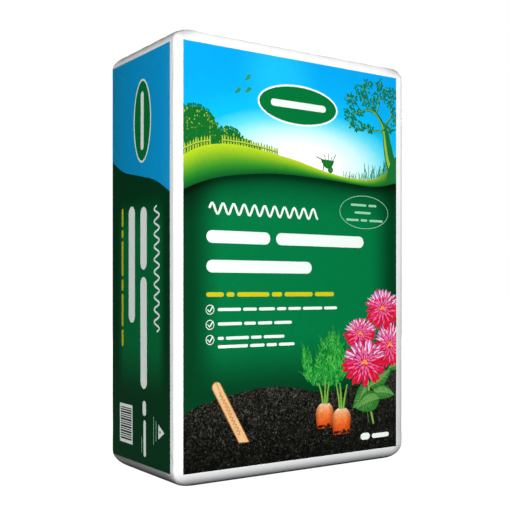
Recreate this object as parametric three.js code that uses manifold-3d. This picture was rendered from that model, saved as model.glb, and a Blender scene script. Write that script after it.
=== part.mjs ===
// A large sealed bag of potting compost, standing on its base.
// Millimetres, +Z up. The printed front faces -Y, and the origin is the middle of the base.
//
// The bag is one tube of film, welded shut at both ends and packed tight into a block.
// It is lofted from rounded rectangles, level by level. Above the shoulders the film slopes up
// very slightly to the top weld, whose fin is folded flat towards the back.

import * as THREE from 'three';
import * as BufferGeometryUtils from 'three/addons/utils/BufferGeometryUtils.js';
import Module from 'manifold-3d';

// Driving dimensions of the filled bag.
const WIDTH = 503;
const DEPTH = 244;
const HEIGHT = 759;

// How far the packed film stands out at the middle of each face.
const FRONT_BULGE = 1.5;
const SIDE_BULGE = 1;

// The four upright edges are creased sharp, and open out only at the corners.
const UPRIGHT_RADIUS = 6;
const CORNER_RADIUS = 18;

// The edges round the base and the top are softer, most of all on the left, where the fill has
// settled: how far they reach up or down a wall, and how far in from each side and along Y.
const BASE_EDGE = { rise: 31, inLeft: 38, inRight: 22, inY: 25 };
const TOP_EDGE = { rise: 26, inLeft: 40, inRight: 16, inY: 20 };

// The welded fin: four layers of film, folded once and pressed flat.
const FIN_LENGTH = 410;
const FIN_WIDTH = 27;
const FIN_THICKNESS = 1.4;
const FIN_SINK = 3;
const FIN_END_TAPER = 7;
const ROOF_RISE = 3.5;

// How finely the loft is divided.
const FACE_STEPS_X = 12;
const FACE_STEPS_Y = 6;
const CORNER_STEPS = 4;
const EDGE_STEPS = 7;
const WALL_STEPS = 9;
const ROOF_STEPS = 3;

// The film itself ends a fin's thickness below the highest point.
const RIDGE_HEIGHT = HEIGHT - FIN_THICKNESS;
const SHOULDER_TOP = RIDGE_HEIGHT - ROOF_RISE;

const FILM_COLOUR = 0xf4f5f4;
const FILM_ROUGHNESS = 0.35;

// How far round an edge the film has turned, from 0 on the wall to 1 at the end.
function turned(edge, fromEnd) {
  const below = Math.max(0, 1 - fromEnd / edge.rise);
  return 1 - Math.sqrt(Math.max(0, 1 - below * below));
}

// Middle, half sizes and corner radius of the rounded rectangle at one height.
function sectionAt(z) {
  const atBase = turned(BASE_EDGE, z);
  const atTop = turned(TOP_EDGE, SHOULDER_TOP - z);
  const inLeft = BASE_EDGE.inLeft * atBase + TOP_EDGE.inLeft * atTop;
  const inRight = BASE_EDGE.inRight * atBase + TOP_EDGE.inRight * atTop;
  return {
    middleX: (inLeft - inRight) / 2,
    halfX: WIDTH / 2 - SIDE_BULGE - (inLeft + inRight) / 2,
    halfY: DEPTH / 2 - FRONT_BULGE - BASE_EDGE.inY * atBase - TOP_EDGE.inY * atTop,
    radius: THREE.MathUtils.lerp(UPRIGHT_RADIUS, CORNER_RADIUS, atBase + atTop),
  };
}

// The bulge dies away towards the corners, the base and the shoulders.
function bulgeAt(along, z) {
  const up = (2 * z) / SHOULDER_TOP - 1;
  return (1 - along * along) * (1 - up * up);
}

// One closed outline, anticlockwise from above, starting on the front face's left end.
function outlineAt(z) {
  const { middleX, halfX, halfY, radius } = sectionAt(z);
  const flatX = halfX - radius;
  const flatY = halfY - radius;
  const faces = [
    { from: [-flatX, -halfY], to: [flatX, -halfY], out: [0, -1], bulge: FRONT_BULGE, steps: FACE_STEPS_X },
    { from: [halfX, -flatY], to: [halfX, flatY], out: [1, 0], bulge: SIDE_BULGE, steps: FACE_STEPS_Y },
    { from: [flatX, halfY], to: [-flatX, halfY], out: [0, 1], bulge: FRONT_BULGE, steps: FACE_STEPS_X },
    { from: [-halfX, flatY], to: [-halfX, -flatY], out: [-1, 0], bulge: SIDE_BULGE, steps: FACE_STEPS_Y },
  ];
  const centres = [[flatX, -flatY], [flatX, flatY], [-flatX, flatY], [-flatX, -flatY]];
  const outline = [];
  faces.forEach(({ from, to, out, bulge, steps }, side) => {
    for (let i = 0; i <= steps; i += 1) {
      const t = i / steps;
      const swell = bulge * bulgeAt(2 * t - 1, z);
      outline.push(new THREE.Vector3(
        THREE.MathUtils.lerp(from[0], to[0], t) + out[0] * swell,
        THREE.MathUtils.lerp(from[1], to[1], t) + out[1] * swell,
        z,
      ));
    }
    const start = (side - 1) * (Math.PI / 2);
    for (let i = 1; i < CORNER_STEPS; i += 1) {
      const angle = start + (Math.PI / 2) * (i / CORNER_STEPS);
      outline.push(new THREE.Vector3(
        centres[side][0] + radius * Math.cos(angle),
        centres[side][1] + radius * Math.sin(angle),
        z,
      ));
    }
  });
  outline.forEach((point) => { point.x += middleX; });
  return outline;
}

// The heights of the outlines: close together on the two rounded ends, wide apart between them.
function levels() {
  const turns = Array.from({ length: EDGE_STEPS + 1 }, (_, i) => 1 - Math.cos((Math.PI / 2) * (i / EDGE_STEPS)));
  const base = turns.map((turn) => BASE_EDGE.rise * turn);
  const top = turns.map((turn) => SHOULDER_TOP - TOP_EDGE.rise * turn).reverse();
  const wall = [];
  for (let i = 1; i < WALL_STEPS; i += 1) {
    wall.push(THREE.MathUtils.lerp(BASE_EDGE.rise, SHOULDER_TOP - TOP_EDGE.rise, i / WALL_STEPS));
  }
  return [...base, ...wall, ...top];
}

// Above the shoulders each outline point runs in to the ridge under the fin. The two ends run in
// to the ridge's ends, which makes the four shallow diagonal folds of the gussets.
function roofRing(outline, t) {
  const ridgeEnd = FIN_LENGTH / 2 - FIN_END_TAPER;
  return outline.map((point) => new THREE.Vector3(
    THREE.MathUtils.lerp(point.x, THREE.MathUtils.clamp(point.x, -ridgeEnd, ridgeEnd), t),
    point.y * (1 - t),
    SHOULDER_TOP + ROOF_RISE * t,
  ));
}

// Rings of points become one closed skin; the base is a flat fan.
function buildShell() {
  const heights = levels();
  const rings = heights.map(outlineAt);
  const shoulder = rings[rings.length - 1];
  for (let i = 1; i <= ROOF_STEPS; i += 1) {
    rings.push(roofRing(shoulder, i / ROOF_STEPS));
  }
  const count = shoulder.length;
  const positions = rings.flat().flatMap((point) => point.toArray());
  const triangles = [];
  for (let ring = 0; ring < rings.length - 1; ring += 1) {
    for (let i = 0; i < count; i += 1) {
      const next = (i + 1) % count;
      const low = ring * count;
      const high = low + count;
      triangles.push(low + i, low + next, high + next);
      triangles.push(low + i, high + next, high + i);
    }
  }
  const centre = positions.length / 3;
  positions.push(0, 0, 0);
  for (let i = 0; i < count; i += 1) {
    triangles.push(centre, (i + 1) % count, i);
  }
  const geometry = new THREE.BufferGeometry();
  geometry.setAttribute('position', new THREE.Float32BufferAttribute(positions, 3));
  geometry.setIndex(triangles);
  return geometry;
}

// The fin, drawn flat from above with its two rear corners cut off. It is sunk into the roof, so
// that no gap is left under its rear edge.
function buildFin() {
  const half = FIN_LENGTH / 2;
  const plan = new THREE.Shape();
  plan.moveTo(-half, 0);
  plan.lineTo(half, 0);
  plan.lineTo(half, FIN_WIDTH - FIN_END_TAPER);
  plan.lineTo(half - FIN_END_TAPER, FIN_WIDTH);
  plan.lineTo(FIN_END_TAPER - half, FIN_WIDTH);
  plan.lineTo(-half, FIN_WIDTH - FIN_END_TAPER);
  plan.closePath();
  const depth = FIN_THICKNESS + FIN_SINK;
  const fin = new THREE.ExtrudeGeometry(plan, { depth, bevelEnabled: false });
  fin.translate(0, 0, HEIGHT - depth);
  return fin;
}

// Booleans need closed meshes whose shared corners are merged.
const wasm = await Module();
wasm.setup();

function toSolid(geometry) {
  const bare = geometry.clone();
  bare.deleteAttribute('normal');
  bare.deleteAttribute('uv');
  const merged = BufferGeometryUtils.mergeVertices(bare, 1e-3);
  const corners = merged.index.array;
  const kept = [];
  for (let i = 0; i < corners.length; i += 3) {
    const [a, b, c] = [corners[i], corners[i + 1], corners[i + 2]];
    if (a !== b && b !== c && c !== a) kept.push(a, b, c);
  }
  return new wasm.Manifold(new wasm.Mesh({
    numProp: 3,
    vertProperties: new Float32Array(merged.attributes.position.array),
    triVerts: new Uint32Array(kept),
  }));
}

function toGeometry(solid) {
  const mesh = solid.getMesh();
  const geometry = new THREE.BufferGeometry();
  geometry.setAttribute('position', new THREE.BufferAttribute(mesh.vertProperties, 3));
  geometry.setIndex(new THREE.BufferAttribute(mesh.triVerts, 1));
  geometry.computeVertexNormals();
  return geometry;
}

const film = new THREE.MeshStandardMaterial({
  color: FILM_COLOUR,
  roughness: FILM_ROUGHNESS,
  metalness: 0,
});

function buildBag() {
  const joined = toSolid(buildShell()).add(toSolid(buildFin()));
  const bag = new THREE.Mesh(toGeometry(joined), film);
  bag.name = 'compost_bag';
  return bag;
}

const object = new THREE.Group();
object.add(buildBag());

export default object;
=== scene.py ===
# %% [markdown]
# # A big bag of potting compost
#
# The real object is one long tube of printed polythene film, filled, welded shut at both ends and
# patted into a block. Nothing on it moves. So there is one large piece to make well, the film, and
# one small one, the folded weld on top.
#
# The plan of this lesson:
#
# 1. describe the film as a formula that wraps a flat web round the block;
# 2. draw the print on the flat web, as a printer does, with fields of colour and simple shapes;
# 3. cut the web along the edges of the print, give each part its ink, and wrap it;
# 4. mix the inks and the film's own finish;
# 5. add the weld, the studio and the camera.

# %% Load the frame
import math
import random

import bmesh
import bpy
import numpy as np
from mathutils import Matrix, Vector
from mathutils.geometry import delaunay_2d_cdt


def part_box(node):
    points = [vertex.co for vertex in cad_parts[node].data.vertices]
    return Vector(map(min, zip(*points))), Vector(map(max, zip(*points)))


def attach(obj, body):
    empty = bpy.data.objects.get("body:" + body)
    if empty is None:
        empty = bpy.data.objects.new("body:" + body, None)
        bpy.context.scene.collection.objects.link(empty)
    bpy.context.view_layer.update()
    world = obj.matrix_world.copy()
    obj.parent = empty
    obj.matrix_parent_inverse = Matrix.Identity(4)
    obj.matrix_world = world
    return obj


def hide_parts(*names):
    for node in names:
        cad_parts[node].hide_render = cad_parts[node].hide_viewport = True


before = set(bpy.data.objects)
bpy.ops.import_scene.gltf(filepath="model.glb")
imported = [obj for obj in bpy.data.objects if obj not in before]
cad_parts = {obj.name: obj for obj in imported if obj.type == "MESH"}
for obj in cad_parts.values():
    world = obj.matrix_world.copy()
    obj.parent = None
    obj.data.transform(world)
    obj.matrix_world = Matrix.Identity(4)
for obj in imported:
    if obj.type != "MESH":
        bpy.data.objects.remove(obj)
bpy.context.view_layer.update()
low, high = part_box("compost_bag")

# %% [markdown]
# ## The block
#
# All sizes follow from the CAD box. Inside this script the flat web is measured in millimetres,
# because print is laid out in millimetres, and the wrap turns it into metres at the very end.
# Two of the block's habits give it the look of a filled bag: its upright edges are creased sharp
# and open out only at the corners, and the edges round the base and the top are soft.

# %% Sizes of the filled bag
MM = 0.001
WIDTH = round((high.x - low.x) / MM)
DEPTH = round((high.y - low.y) / MM)
HEIGHT = round((high.z - low.z) / MM)

FRONT_BULGE = 1.5
SIDE_BULGE = 1.0
UPRIGHT_RADIUS = 6.0
CORNER_RADIUS = 18.0
BASE_RISE, BASE_IN_LEFT, BASE_IN_RIGHT, BASE_IN_Y = 31.0, 38.0, 22.0, 25.0
TOP_RISE, TOP_IN_LEFT, TOP_IN_RIGHT, TOP_IN_Y = 26.0, 40.0, 16.0, 20.0

FIN_THICKNESS = 1.4
FIN_LENGTH = 410.0
FIN_WIDTH = 27.0
ROOF_RISE = 3.5
RIDGE_HALF = 198.0
SHOULDER_TOP = HEIGHT - FIN_THICKNESS - ROOF_RISE

# %% Sizes of the flat web
MARK_DROP = 7.0
FOOT_LINE = MARK_DROP + BASE_RISE
HEAD_LINE = MARK_DROP + SHOULDER_TOP - TOP_RISE
BASE_TURN = math.pi / 2 * BASE_RISE
TOP_TURN = math.pi / 2 * TOP_RISE
RUN_IN = DEPTH / 2 - TOP_IN_Y

WEB_FOOT = FOOT_LINE - BASE_TURN - RUN_IN
WEB_HEAD = HEAD_LINE + TOP_TURN + RUN_IN
WEB_LEFT = -DEPTH
WEB_RIGHT = 2 * WIDTH + DEPTH
AROUND = WEB_RIGHT - WEB_LEFT
print(f"block {WIDTH} x {DEPTH} x {HEIGHT} mm, web {AROUND} x {WEB_HEAD - WEB_FOOT:.0f} mm")

# %% [markdown]
# ## The flat web
#
# A place on the web has two numbers. `s` runs round the bag: 0 is the crease at the front's left
# edge, the front ends at `WIDTH`, then come the right side, the back and, below zero, the left
# side. `t` climbs: on the four walls it is the height above the printer's mark, which lies 7 mm
# below the base, and it goes on past them, round the soft edges and in to the middle of the base
# and of the top.
#
# `climb` turns `t` into a height, into how far the film has turned round the soft edges at the
# base and at the top, and into a share of the run in to the middle.

# %% Climb from the base to the ridge
def climb(t):
    below = np.clip((FOOT_LINE - t) / BASE_TURN, 0, 1) * math.pi / 2
    above = np.clip((t - HEAD_LINE) / TOP_TURN, 0, 1) * math.pi / 2
    wall = np.clip(t, FOOT_LINE, HEAD_LINE) - MARK_DROP
    height = wall + TOP_RISE * np.sin(above) - BASE_RISE * np.sin(below)
    at_base, at_top = 1 - np.cos(below), 1 - np.cos(above)
    in_top = np.clip((t - WEB_HEAD + RUN_IN) / RUN_IN, 0, 1)
    in_base = np.clip((WEB_FOOT + RUN_IN - t) / RUN_IN, 0, 1)
    return height, at_base, at_top, in_top, in_base


def ease(x):
    x = np.clip(x, 0, 1)
    return x * x * (3 - 2 * x)


# %% [markdown]
# ## Round the corners
#
# At each height the bag is a rounded rectangle. A printer's layout should land true to size on the
# flat of each face, so `s` is kept as it is there, and only the last few millimetres before a
# crease are squeezed round its arc. Up on the soft edges, where nothing is printed, the whole
# width is shared out evenly instead.

# %% Wrap the web round the block
HALF_ARC = math.sqrt(0.5)
FACES = [
    # start of the face on the web, its length, the way along it, the way out of it, its bulge, and
    # how slack the creases at its start and its end are
    (WEB_LEFT, DEPTH, (0, -1), (-1, 0), SIDE_BULGE, (0, 0)),
    (0, WIDTH, (1, 0), (0, -1), FRONT_BULGE, (0, 1)),
    (WIDTH, DEPTH, (0, 1), (1, 0), SIDE_BULGE, (1, 1)),
    (WIDTH + DEPTH, WIDTH, (-1, 0), (0, 1), FRONT_BULGE, (1, 0)),
]
TRUE_TO_SIZE = 16.0
CREASE_SLACK = 3.0
EVEN_FROM = 0.09
EVEN_OVER = 0.21


def section(at_base, at_top):
    in_left = BASE_IN_LEFT * at_base + TOP_IN_LEFT * at_top
    in_right = BASE_IN_RIGHT * at_base + TOP_IN_RIGHT * at_top
    half_x = WIDTH / 2 - SIDE_BULGE - (in_left + in_right) / 2
    half_y = DEPTH / 2 - FRONT_BULGE - BASE_IN_Y * at_base - TOP_IN_Y * at_top
    radius = UPRIGHT_RADIUS + (CORNER_RADIUS - UPRIGHT_RADIUS) * (at_base + at_top)
    return (in_left - in_right) / 2, half_x, half_y, radius


def bare_wrap(s, t):
    height, at_base, at_top, in_top, in_base = climb(t)
    middle_x, half_x, half_y, radius = section(at_base, at_top)
    even = ease((at_base + at_top - EVEN_FROM) / EVEN_OVER)
    up = 2 * height / SHOULDER_TOP - 1
    x = np.zeros_like(s)
    y = np.zeros_like(s)
    more = CREASE_SLACK * (1 - at_base - at_top)
    for start, length, along, out, bulge, creases in FACES:
        here = (s >= start) & (s <= start + length)
        half_along, half_out = (half_x, half_y) if along[0] else (half_y, half_x)
        a = s - start - length / 2
        round_off = radius + more * np.where(a > 0, creases[1], creases[0])
        true = length / 2 - TRUE_TO_SIZE
        reach = half_along - round_off * (1 - HALF_ARC)
        squeezed = true + (np.abs(a) - true) * (reach - true) / TRUE_TO_SIZE
        laid = np.sign(a) * np.where(np.abs(a) > true, squeezed, np.abs(a))
        laid = (1 - even) * laid + even * a * reach / (length / 2)
        past = np.clip(np.abs(laid) - half_along + round_off, 0, round_off)
        off = half_out - round_off + np.sqrt(round_off ** 2 - past ** 2)
        across = np.clip(laid / (half_along - round_off), -1, 1)
        off = off + bulge * (1 - across ** 2) * (1 - up ** 2)
        x = np.where(here, laid * along[0] + off * out[0], x)
        y = np.where(here, laid * along[1] + off * out[1], y)
    run_in = np.maximum(in_top, in_base)
    x = x + middle_x
    x = x + (np.clip(x, -RIDGE_HALF, RIDGE_HALF) - x) * run_in
    y = y * (1 - run_in)
    z = height + ROOF_RISE * in_top
    return np.stack([x, y, z], axis=-1)


# %% [markdown]
# ## The slack in the film
#
# A formula alone looks like moulded plastic. Real film is stiff and slightly too long, so it
# gathers in short puckers that fan out from each corner, and it lies in long faint waves along the
# soft edges. Each pucker is a shallow groove along a line on the web. The random numbers are
# seeded, so that the same bag comes out every time.

# %% Puckers and waves
PAST_WALL = 2.0
CREASES = (0, WIDTH, WIDTH + DEPTH, WEB_RIGHT)
WALL_CORNERS = [(s, t) for s in CREASES for t in (FOOT_LINE - PAST_WALL, HEAD_LINE + PAST_WALL)]
PUCKERS_EACH = 7
PUCKER_FAN = 150
PUCKER_BEGIN = (6, 20)
PUCKER_LENGTH = (35, 95)
PUCKER_WIDTH = (3.5, 7.5)
PUCKER_DEPTH = 0.5
WAVE_HEIGHT = 0.18
WAVE_SHARE_AT_BASE = 0.08
WAVE_REACH_TOP = 17.0
WAVE_REACH_BASE = 20.0
WAVES = [
    # waves round the bag, how often and by how much they hurry and lag, their share
    (31, 7, 1.3, 1.0),
    (53, 5, 2.0, 0.6),
]
SETTLE_HEIGHT = 20.0

fold = random.Random(11)
puckers = []
for corner_s, corner_t in WALL_CORNERS:
    downward = 1 if corner_t < HEIGHT / 2 else -1
    for number in range(PUCKERS_EACH):
        fan_share = (number + fold.uniform(0.2, 0.8)) / PUCKERS_EACH
        angle = math.radians(PUCKER_FAN * (fan_share - 0.5))
        way = (math.sin(angle), downward * math.cos(angle))
        begin = fold.uniform(*PUCKER_BEGIN)
        length = fold.uniform(*PUCKER_LENGTH)
        width = fold.uniform(*PUCKER_WIDTH)
        depth = PUCKER_DEPTH * fold.uniform(0.5, 1.0)
        puckers.append((corner_s, corner_t, way, begin, length, width, depth))


def way_round(s, corner_s):
    """The shorter way round the bag from a corner to a place."""
    return (s - corner_s + AROUND / 2) % AROUND - AROUND / 2


def slack(s, t):
    rise = np.zeros_like(s)
    for corner_s, corner_t, way, begin, length, width, depth in puckers:
        ds = way_round(s, corner_s)
        dt = t - corner_t
        along = (ds * way[0] + dt * way[1] - begin) / length
        across = (ds * way[1] - dt * way[0]) / width
        fade = ease(4 * along) * ease(1.25 * (1 - along))
        rise -= depth * fade * np.exp(-across ** 2) * (1 - 0.6 * across ** 2)
    high_edge = np.exp(-((t - HEAD_LINE - TOP_TURN / 2) / WAVE_REACH_TOP) ** 2)
    low_edge = np.exp(-((t - FOOT_LINE + BASE_TURN / 2) / WAVE_REACH_BASE) ** 2)
    turn = s * 2 * math.pi / AROUND
    ripple = sum(
        share * np.sin(count * turn + lag * np.sin(often * turn)) for count, often, lag, share in WAVES)
    return rise + WAVE_HEIGHT * ripple * (high_edge + WAVE_SHARE_AT_BASE * low_edge)


def round_the_bag(s):
    return WEB_LEFT + (s - WEB_LEFT) % AROUND


def normals_of(surface, s, t, step=0.4):
    across = surface(round_the_bag(s + step), t) - surface(round_the_bag(s - step), t)
    upward = surface(s, np.minimum(t + step, WEB_HEAD)) - surface(s, np.maximum(t - step, WEB_FOOT))
    normal = np.cross(across, upward)
    size = np.linalg.norm(normal, axis=-1, keepdims=True)
    return normal / np.maximum(size, 1e-12)


def film(s, t):
    """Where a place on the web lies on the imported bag, in millimetres."""
    height, at_base, at_top, in_top, in_base = climb(t)
    settle = ease(height / SETTLE_HEIGHT) * (1 - np.maximum(in_top, in_base))
    return bare_wrap(s, t) + normals_of(bare_wrap, s, t) * (slack(s, t) * settle)[..., None]


probe = film(np.array([250.0, 0.0]), np.array([380.0, 380.0]))
print("middle of the front and its left crease, mm:", probe.round(1).tolist())

# %% [markdown]
# ## Helpers for node trees
#
# Every finish and every repeated motif below is a small node tree. `place` adds a node, changes its
# settings and fills its inputs: a socket is linked, anything else is typed in. `feed` does the same
# and hands back the new node's first output, ready for the next node.

# %% Node helpers
def place(tree, kind, settings=None, inputs=None):
    made = tree.nodes.new(kind)
    for name, value in (settings or {}).items():
        setattr(made, name, value)
    for key, value in (inputs or {}).items():
        if isinstance(value, bpy.types.NodeSocket):
            tree.links.new(value, made.inputs[key])
        else:
            made.inputs[key].default_value = value
    return made


def feed(tree, kind, settings=None, inputs=None):
    return place(tree, kind, settings, inputs).outputs[0]


def calc(tree, operation, *values):
    return feed(tree, "ShaderNodeMath", {"operation": operation}, dict(enumerate(values)))


def new_group(name, kind, takes, gives):
    """An empty node group with its named inputs, as (kind of socket, value), and outputs."""
    tree = bpy.data.node_groups.new(name, kind)
    for socket, (sort, value) in takes.items():
        made = tree.interface.new_socket(socket, in_out="INPUT", socket_type=sort)
        if value is not None:
            made.default_value = value
    for socket, sort in gives.items():
        tree.interface.new_socket(socket, in_out="OUTPUT", socket_type=sort)
    return tree, tree.nodes.new("NodeGroupInput").outputs, tree.nodes.new("NodeGroupOutput").inputs


def add_object(name, data):
    made = bpy.data.objects.new(name, data)
    bpy.context.scene.collection.objects.link(made)
    return made


FLOAT, VECTOR, INT = "NodeSocketFloat", "NodeSocketVector", "NodeSocketInt"
MESH, MATERIAL = "NodeSocketGeometry", "NodeSocketMaterial"

# %% [markdown]
# ## Ink colours
#
# Colours are written as a printer reads them off a swatch, from 0 to 255, and turned into the
# linear values that the shader works with.

# %% Colours and ramps
def swatch(red, green, blue):
    def linear(value):
        value /= 255
        return value / 12.92 if value <= 0.04045 else ((value + 0.055) / 1.055) ** 2.4
    return (linear(red), linear(green), linear(blue), 1.0)


def ramp(tree, factor, stops):
    made = place(tree, "ShaderNodeValToRGB", None, {0: factor})
    while len(made.color_ramp.elements) < len(stops):
        made.color_ramp.elements.new(1.0)
    for element, (position, colour) in zip(made.color_ramp.elements, stops):
        element.position = position
        element.color = swatch(*colour)
    return made.outputs["Color"]


def blend(tree, factor, first, second, mode="MIX"):
    made = place(
        tree, "ShaderNodeMix", {"data_type": "RGBA", "blend_type": mode}, {0: factor, 6: first, 7: second})
    return made.outputs[2]


def multiply(tree, share, colour, shade):
    return blend(tree, share, colour, shade, "MULTIPLY")


def grey_of(tree, level):
    return feed(tree, "ShaderNodeCombineColor", None, {0: level, 1: level, 2: level})


def share_between(tree, value, ends, **settings):
    """0 up to the first end, 1 from the second end on, and a slope between them."""
    start, end = ends
    return feed(tree, "ShaderNodeMapRange", settings, {"Value": value, "From Min": start, "From Max": end})


# %% [markdown]
# ## Effects that several finishes share
#
# Three effects come back in many inks, so each is a node group, built once:
#
# - `film_crinkle`, the faint unevenness of stretched film, which breaks up its reflections;
# - `crumbs`, round grains of random size, for soil, leaves and speckled flowers;
# - `lit_panel`, the light middle and dark rim that printers give to a plain field.

# %% Shared shader groups
CRUMB_WARP = 0.006


def make_film_crinkle():
    tree, take, give = new_group(
        "film_crinkle", "ShaderNodeTree",
        {"Scale": (FLOAT, 45.0), "Height": (FLOAT, 0.0006)}, {"Normal": VECTOR})
    spot = place(tree, "ShaderNodeTexCoord").outputs["Object"]
    broad = feed(tree, "ShaderNodeTexNoise", None, {"Vector": spot, "Scale": take["Scale"], "Detail": 3.0})
    fine_scale = calc(tree, "MULTIPLY", take["Scale"], 7.0)
    fine = feed(tree, "ShaderNodeTexNoise", None, {"Vector": spot, "Scale": fine_scale, "Detail": 2.0})
    height = calc(tree, "MULTIPLY_ADD", fine, 0.12, broad)
    bump = feed(tree, "ShaderNodeBump", None, {"Height": height, "Distance": take["Height"]})
    tree.links.new(bump, give["Normal"])
    return tree


def make_crumbs():
    tree, take, give = new_group(
        "crumbs", "ShaderNodeTree",
        {"Scale": (FLOAT, 300.0), "Size": (FLOAT, 0.35)}, {"Grain": FLOAT, "Tone": FLOAT})
    spot = place(tree, "ShaderNodeTexCoord").outputs["Object"]
    warp = place(tree, "ShaderNodeTexNoise", None, {"Vector": spot, "Scale": take["Scale"], "Detail": 2.0})
    push = feed(
        tree, "ShaderNodeVectorMath", {"operation": "SCALE"}, {0: warp.outputs["Color"], "Scale": CRUMB_WARP})
    moved = feed(tree, "ShaderNodeVectorMath", {"operation": "ADD"}, {0: spot, 1: push})
    cell = place(tree, "ShaderNodeTexVoronoi", None, {"Vector": moved, "Scale": take["Scale"]})
    share = calc(tree, "DIVIDE", cell.outputs["Distance"], take["Size"])
    grain = feed(tree, "ShaderNodeClamp", None, {0: calc(tree, "SUBTRACT", 1.0, share)})
    tone = feed(tree, "ShaderNodeSeparateColor", None, {0: cell.outputs["Color"]})
    tree.links.new(grain, give["Grain"])
    tree.links.new(tone, give["Tone"])
    return tree


def make_lit_panel():
    sides = ("Left", "Right", "Foot", "Head")
    takes = {"Across": (FLOAT, 0.0), "Up": (FLOAT, 0.0)}
    takes.update({side: (FLOAT, 0.0) for side in sides})
    takes.update({f"{side} Fade": (FLOAT, 0.05) for side in sides})
    tree, take, give = new_group("lit_panel", "ShaderNodeTree", takes, {"Light": FLOAT})
    light = 1.0
    for side in sides:
        place_on = take["Across"] if side in ("Left", "Right") else take["Up"]
        inward = (place_on, take[side]) if side in ("Left", "Foot") else (take[side], place_on)
        depth = calc(tree, "SUBTRACT", *inward)
        fade = share_between(tree, depth, (0.0, take[f"{side} Fade"]), interpolation_type="SMOOTHSTEP")
        light = calc(tree, "MULTIPLY", light, fade)
    tree.links.new(light, give["Light"])
    return tree


film_crinkle = make_film_crinkle()
crumbs = make_crumbs()
lit_panel = make_lit_panel()
print("shared groups:", film_crinkle.name, crumbs.name, lit_panel.name)

# %% [markdown]
# ## The film's finish and the inks
#
# The film is white polythene with a soft gloss, and the inks lie in it, so every ink shares its
# roughness and its crinkle. Only the colour changes. Each function below works out one colour and
# hands back its socket.
#
# Two kinds of place are read. `Object` coordinates are the real bag's, in metres. The UV map
# `artwork` holds, for each printed shape, how far across and how far up that shape a point is, so
# that a gradient follows the shape wherever it lies.

# %% Ink helpers
FILM_ROUGHNESS = 0.29
FILM_SPECULAR = 0.25
inks = {}


def group(tree, made, inputs=None):
    node = place(tree, "ShaderNodeGroup", {"node_tree": made}, inputs)
    return node.outputs


def spot_xyz(tree):
    spot = place(tree, "ShaderNodeTexCoord").outputs["Object"]
    return place(tree, "ShaderNodeSeparateXYZ", None, {0: spot}).outputs


def artwork(tree):
    uv = feed(tree, "ShaderNodeUVMap", {"uv_map": "artwork"})
    return place(tree, "ShaderNodeSeparateXYZ", None, {0: uv}).outputs


def mottled(tree, colour, scale=220.0, amount=0.10):
    """A little unevenness, as any solid ink has."""
    grain = group(tree, crumbs, {"Scale": scale, "Size": 0.9})["Tone"]
    level = calc(tree, "MULTIPLY_ADD", grain, amount, 1 - amount / 2)
    return multiply(tree, 1.0, colour, grey_of(tree, level))


def new_ink(name, colour_of):
    made = bpy.data.materials.new(name)
    made.use_nodes = True
    tree = made.node_tree
    shader = tree.nodes["Principled BSDF"]
    shader.inputs["Roughness"].default_value = FILM_ROUGHNESS
    shader.inputs["Specular IOR Level"].default_value = FILM_SPECULAR
    tree.links.new(colour_of(tree), shader.inputs["Base Color"])
    tree.links.new(group(tree, film_crinkle)["Normal"], shader.inputs["Normal"])
    inks[name] = made


# %% White film, sky, hill and fields
# Where each painted shade on the white film begins and ends, in metres.
GUSSET = (0.205, 0.240)
ROLLED_TOP = (0.730, 0.754)
ROLLED_BASE = (0.0, 0.04)
BEHIND_FRONT = (-0.112, -0.088)
ON_FRONT = (-0.100, -0.116)
RIGHT_CREASE = (0.222, 0.238)
BELOW_TOP = (0.0, 0.72)


def white_film(tree):
    """Painted shade on the film: darker where it turns under at the base, over the rolled top edges at the
    sides, low down on the sides, and down the front's right crease.
    """
    spot = spot_xyz(tree)
    colour = mottled(tree, swatch(247, 248, 248), scale=60.0, amount=0.03)
    # Painted shade over the rolled top edges at the sides.
    painted_top_shade = ramp(tree, share_between(tree, spot["Z"], ROLLED_TOP), [
        (0.00, (255, 255, 255)), (0.50, (208, 206, 204)), (0.78, (150, 148, 147)), (1.00, (70, 70, 70)),
    ])
    # Painted shade where the film turns under at the base, darkest along the floor.
    painted_base_shade = ramp(tree, share_between(tree, spot["Z"], ROLLED_BASE), [
        (0.00, (20, 20, 21)), (0.10, (92, 93, 94)), (0.20, (172, 173, 174)), (0.43, (230, 230, 231)),
        (0.75, (255, 255, 255)),
    ])
    # Further painted shade low down on the sides.
    painted_side_shade = ramp(tree, share_between(tree, spot["Z"], ROLLED_BASE), [
        (0.62, (186, 188, 187)), (0.95, (255, 255, 255)),
    ])
    # Painted shade down the front's right crease, darker towards the base.
    painted_crease_shade = ramp(tree, share_between(tree, spot["Z"], BELOW_TOP), [
        (0.05, (206, 206, 206)), (0.35, (222, 222, 222)), (0.70, (247, 247, 247)), (0.95, (255, 255, 255)),
    ])
    at_gusset = share_between(tree, calc(tree, "ABSOLUTE", spot["X"]), GUSSET)
    at_side = share_between(tree, spot["Y"], BEHIND_FRONT)
    on_front = share_between(tree, spot["Y"], ON_FRONT)
    at_crease = calc(tree, "MULTIPLY", on_front, share_between(tree, spot["X"], RIGHT_CREASE))
    painted_shades = ((at_gusset, painted_top_shade), (1.0, painted_base_shade), (at_side, painted_side_shade), (at_crease, painted_crease_shade))
    for share, shade in painted_shades:
        colour = multiply(tree, share, colour, shade)
    return colour


# Middle and half sizes, in metres, of the glow above the hill and of a paler patch near the sky's top.
GLOW = (0.010, 0.548)
GLOW_SIZE = (0.185, 0.075)
GLOW_REACH = 2.4
PATCH = (-0.045, 0.698)
PATCH_SIZE = (0.075, 0.085)


def oval_distance(tree, spot, middle, size):
    """How many times its own size a place is away from the middle of an oval, on the walls."""
    across = calc(tree, "DIVIDE", calc(tree, "SUBTRACT", spot["X"], middle[0]), size[0])
    up = calc(tree, "DIVIDE", calc(tree, "SUBTRACT", spot["Z"], middle[1]), size[1])
    square = calc(tree, "MULTIPLY_ADD", up, up, calc(tree, "MULTIPLY", across, across))
    return calc(tree, "SQRT", square)


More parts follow.
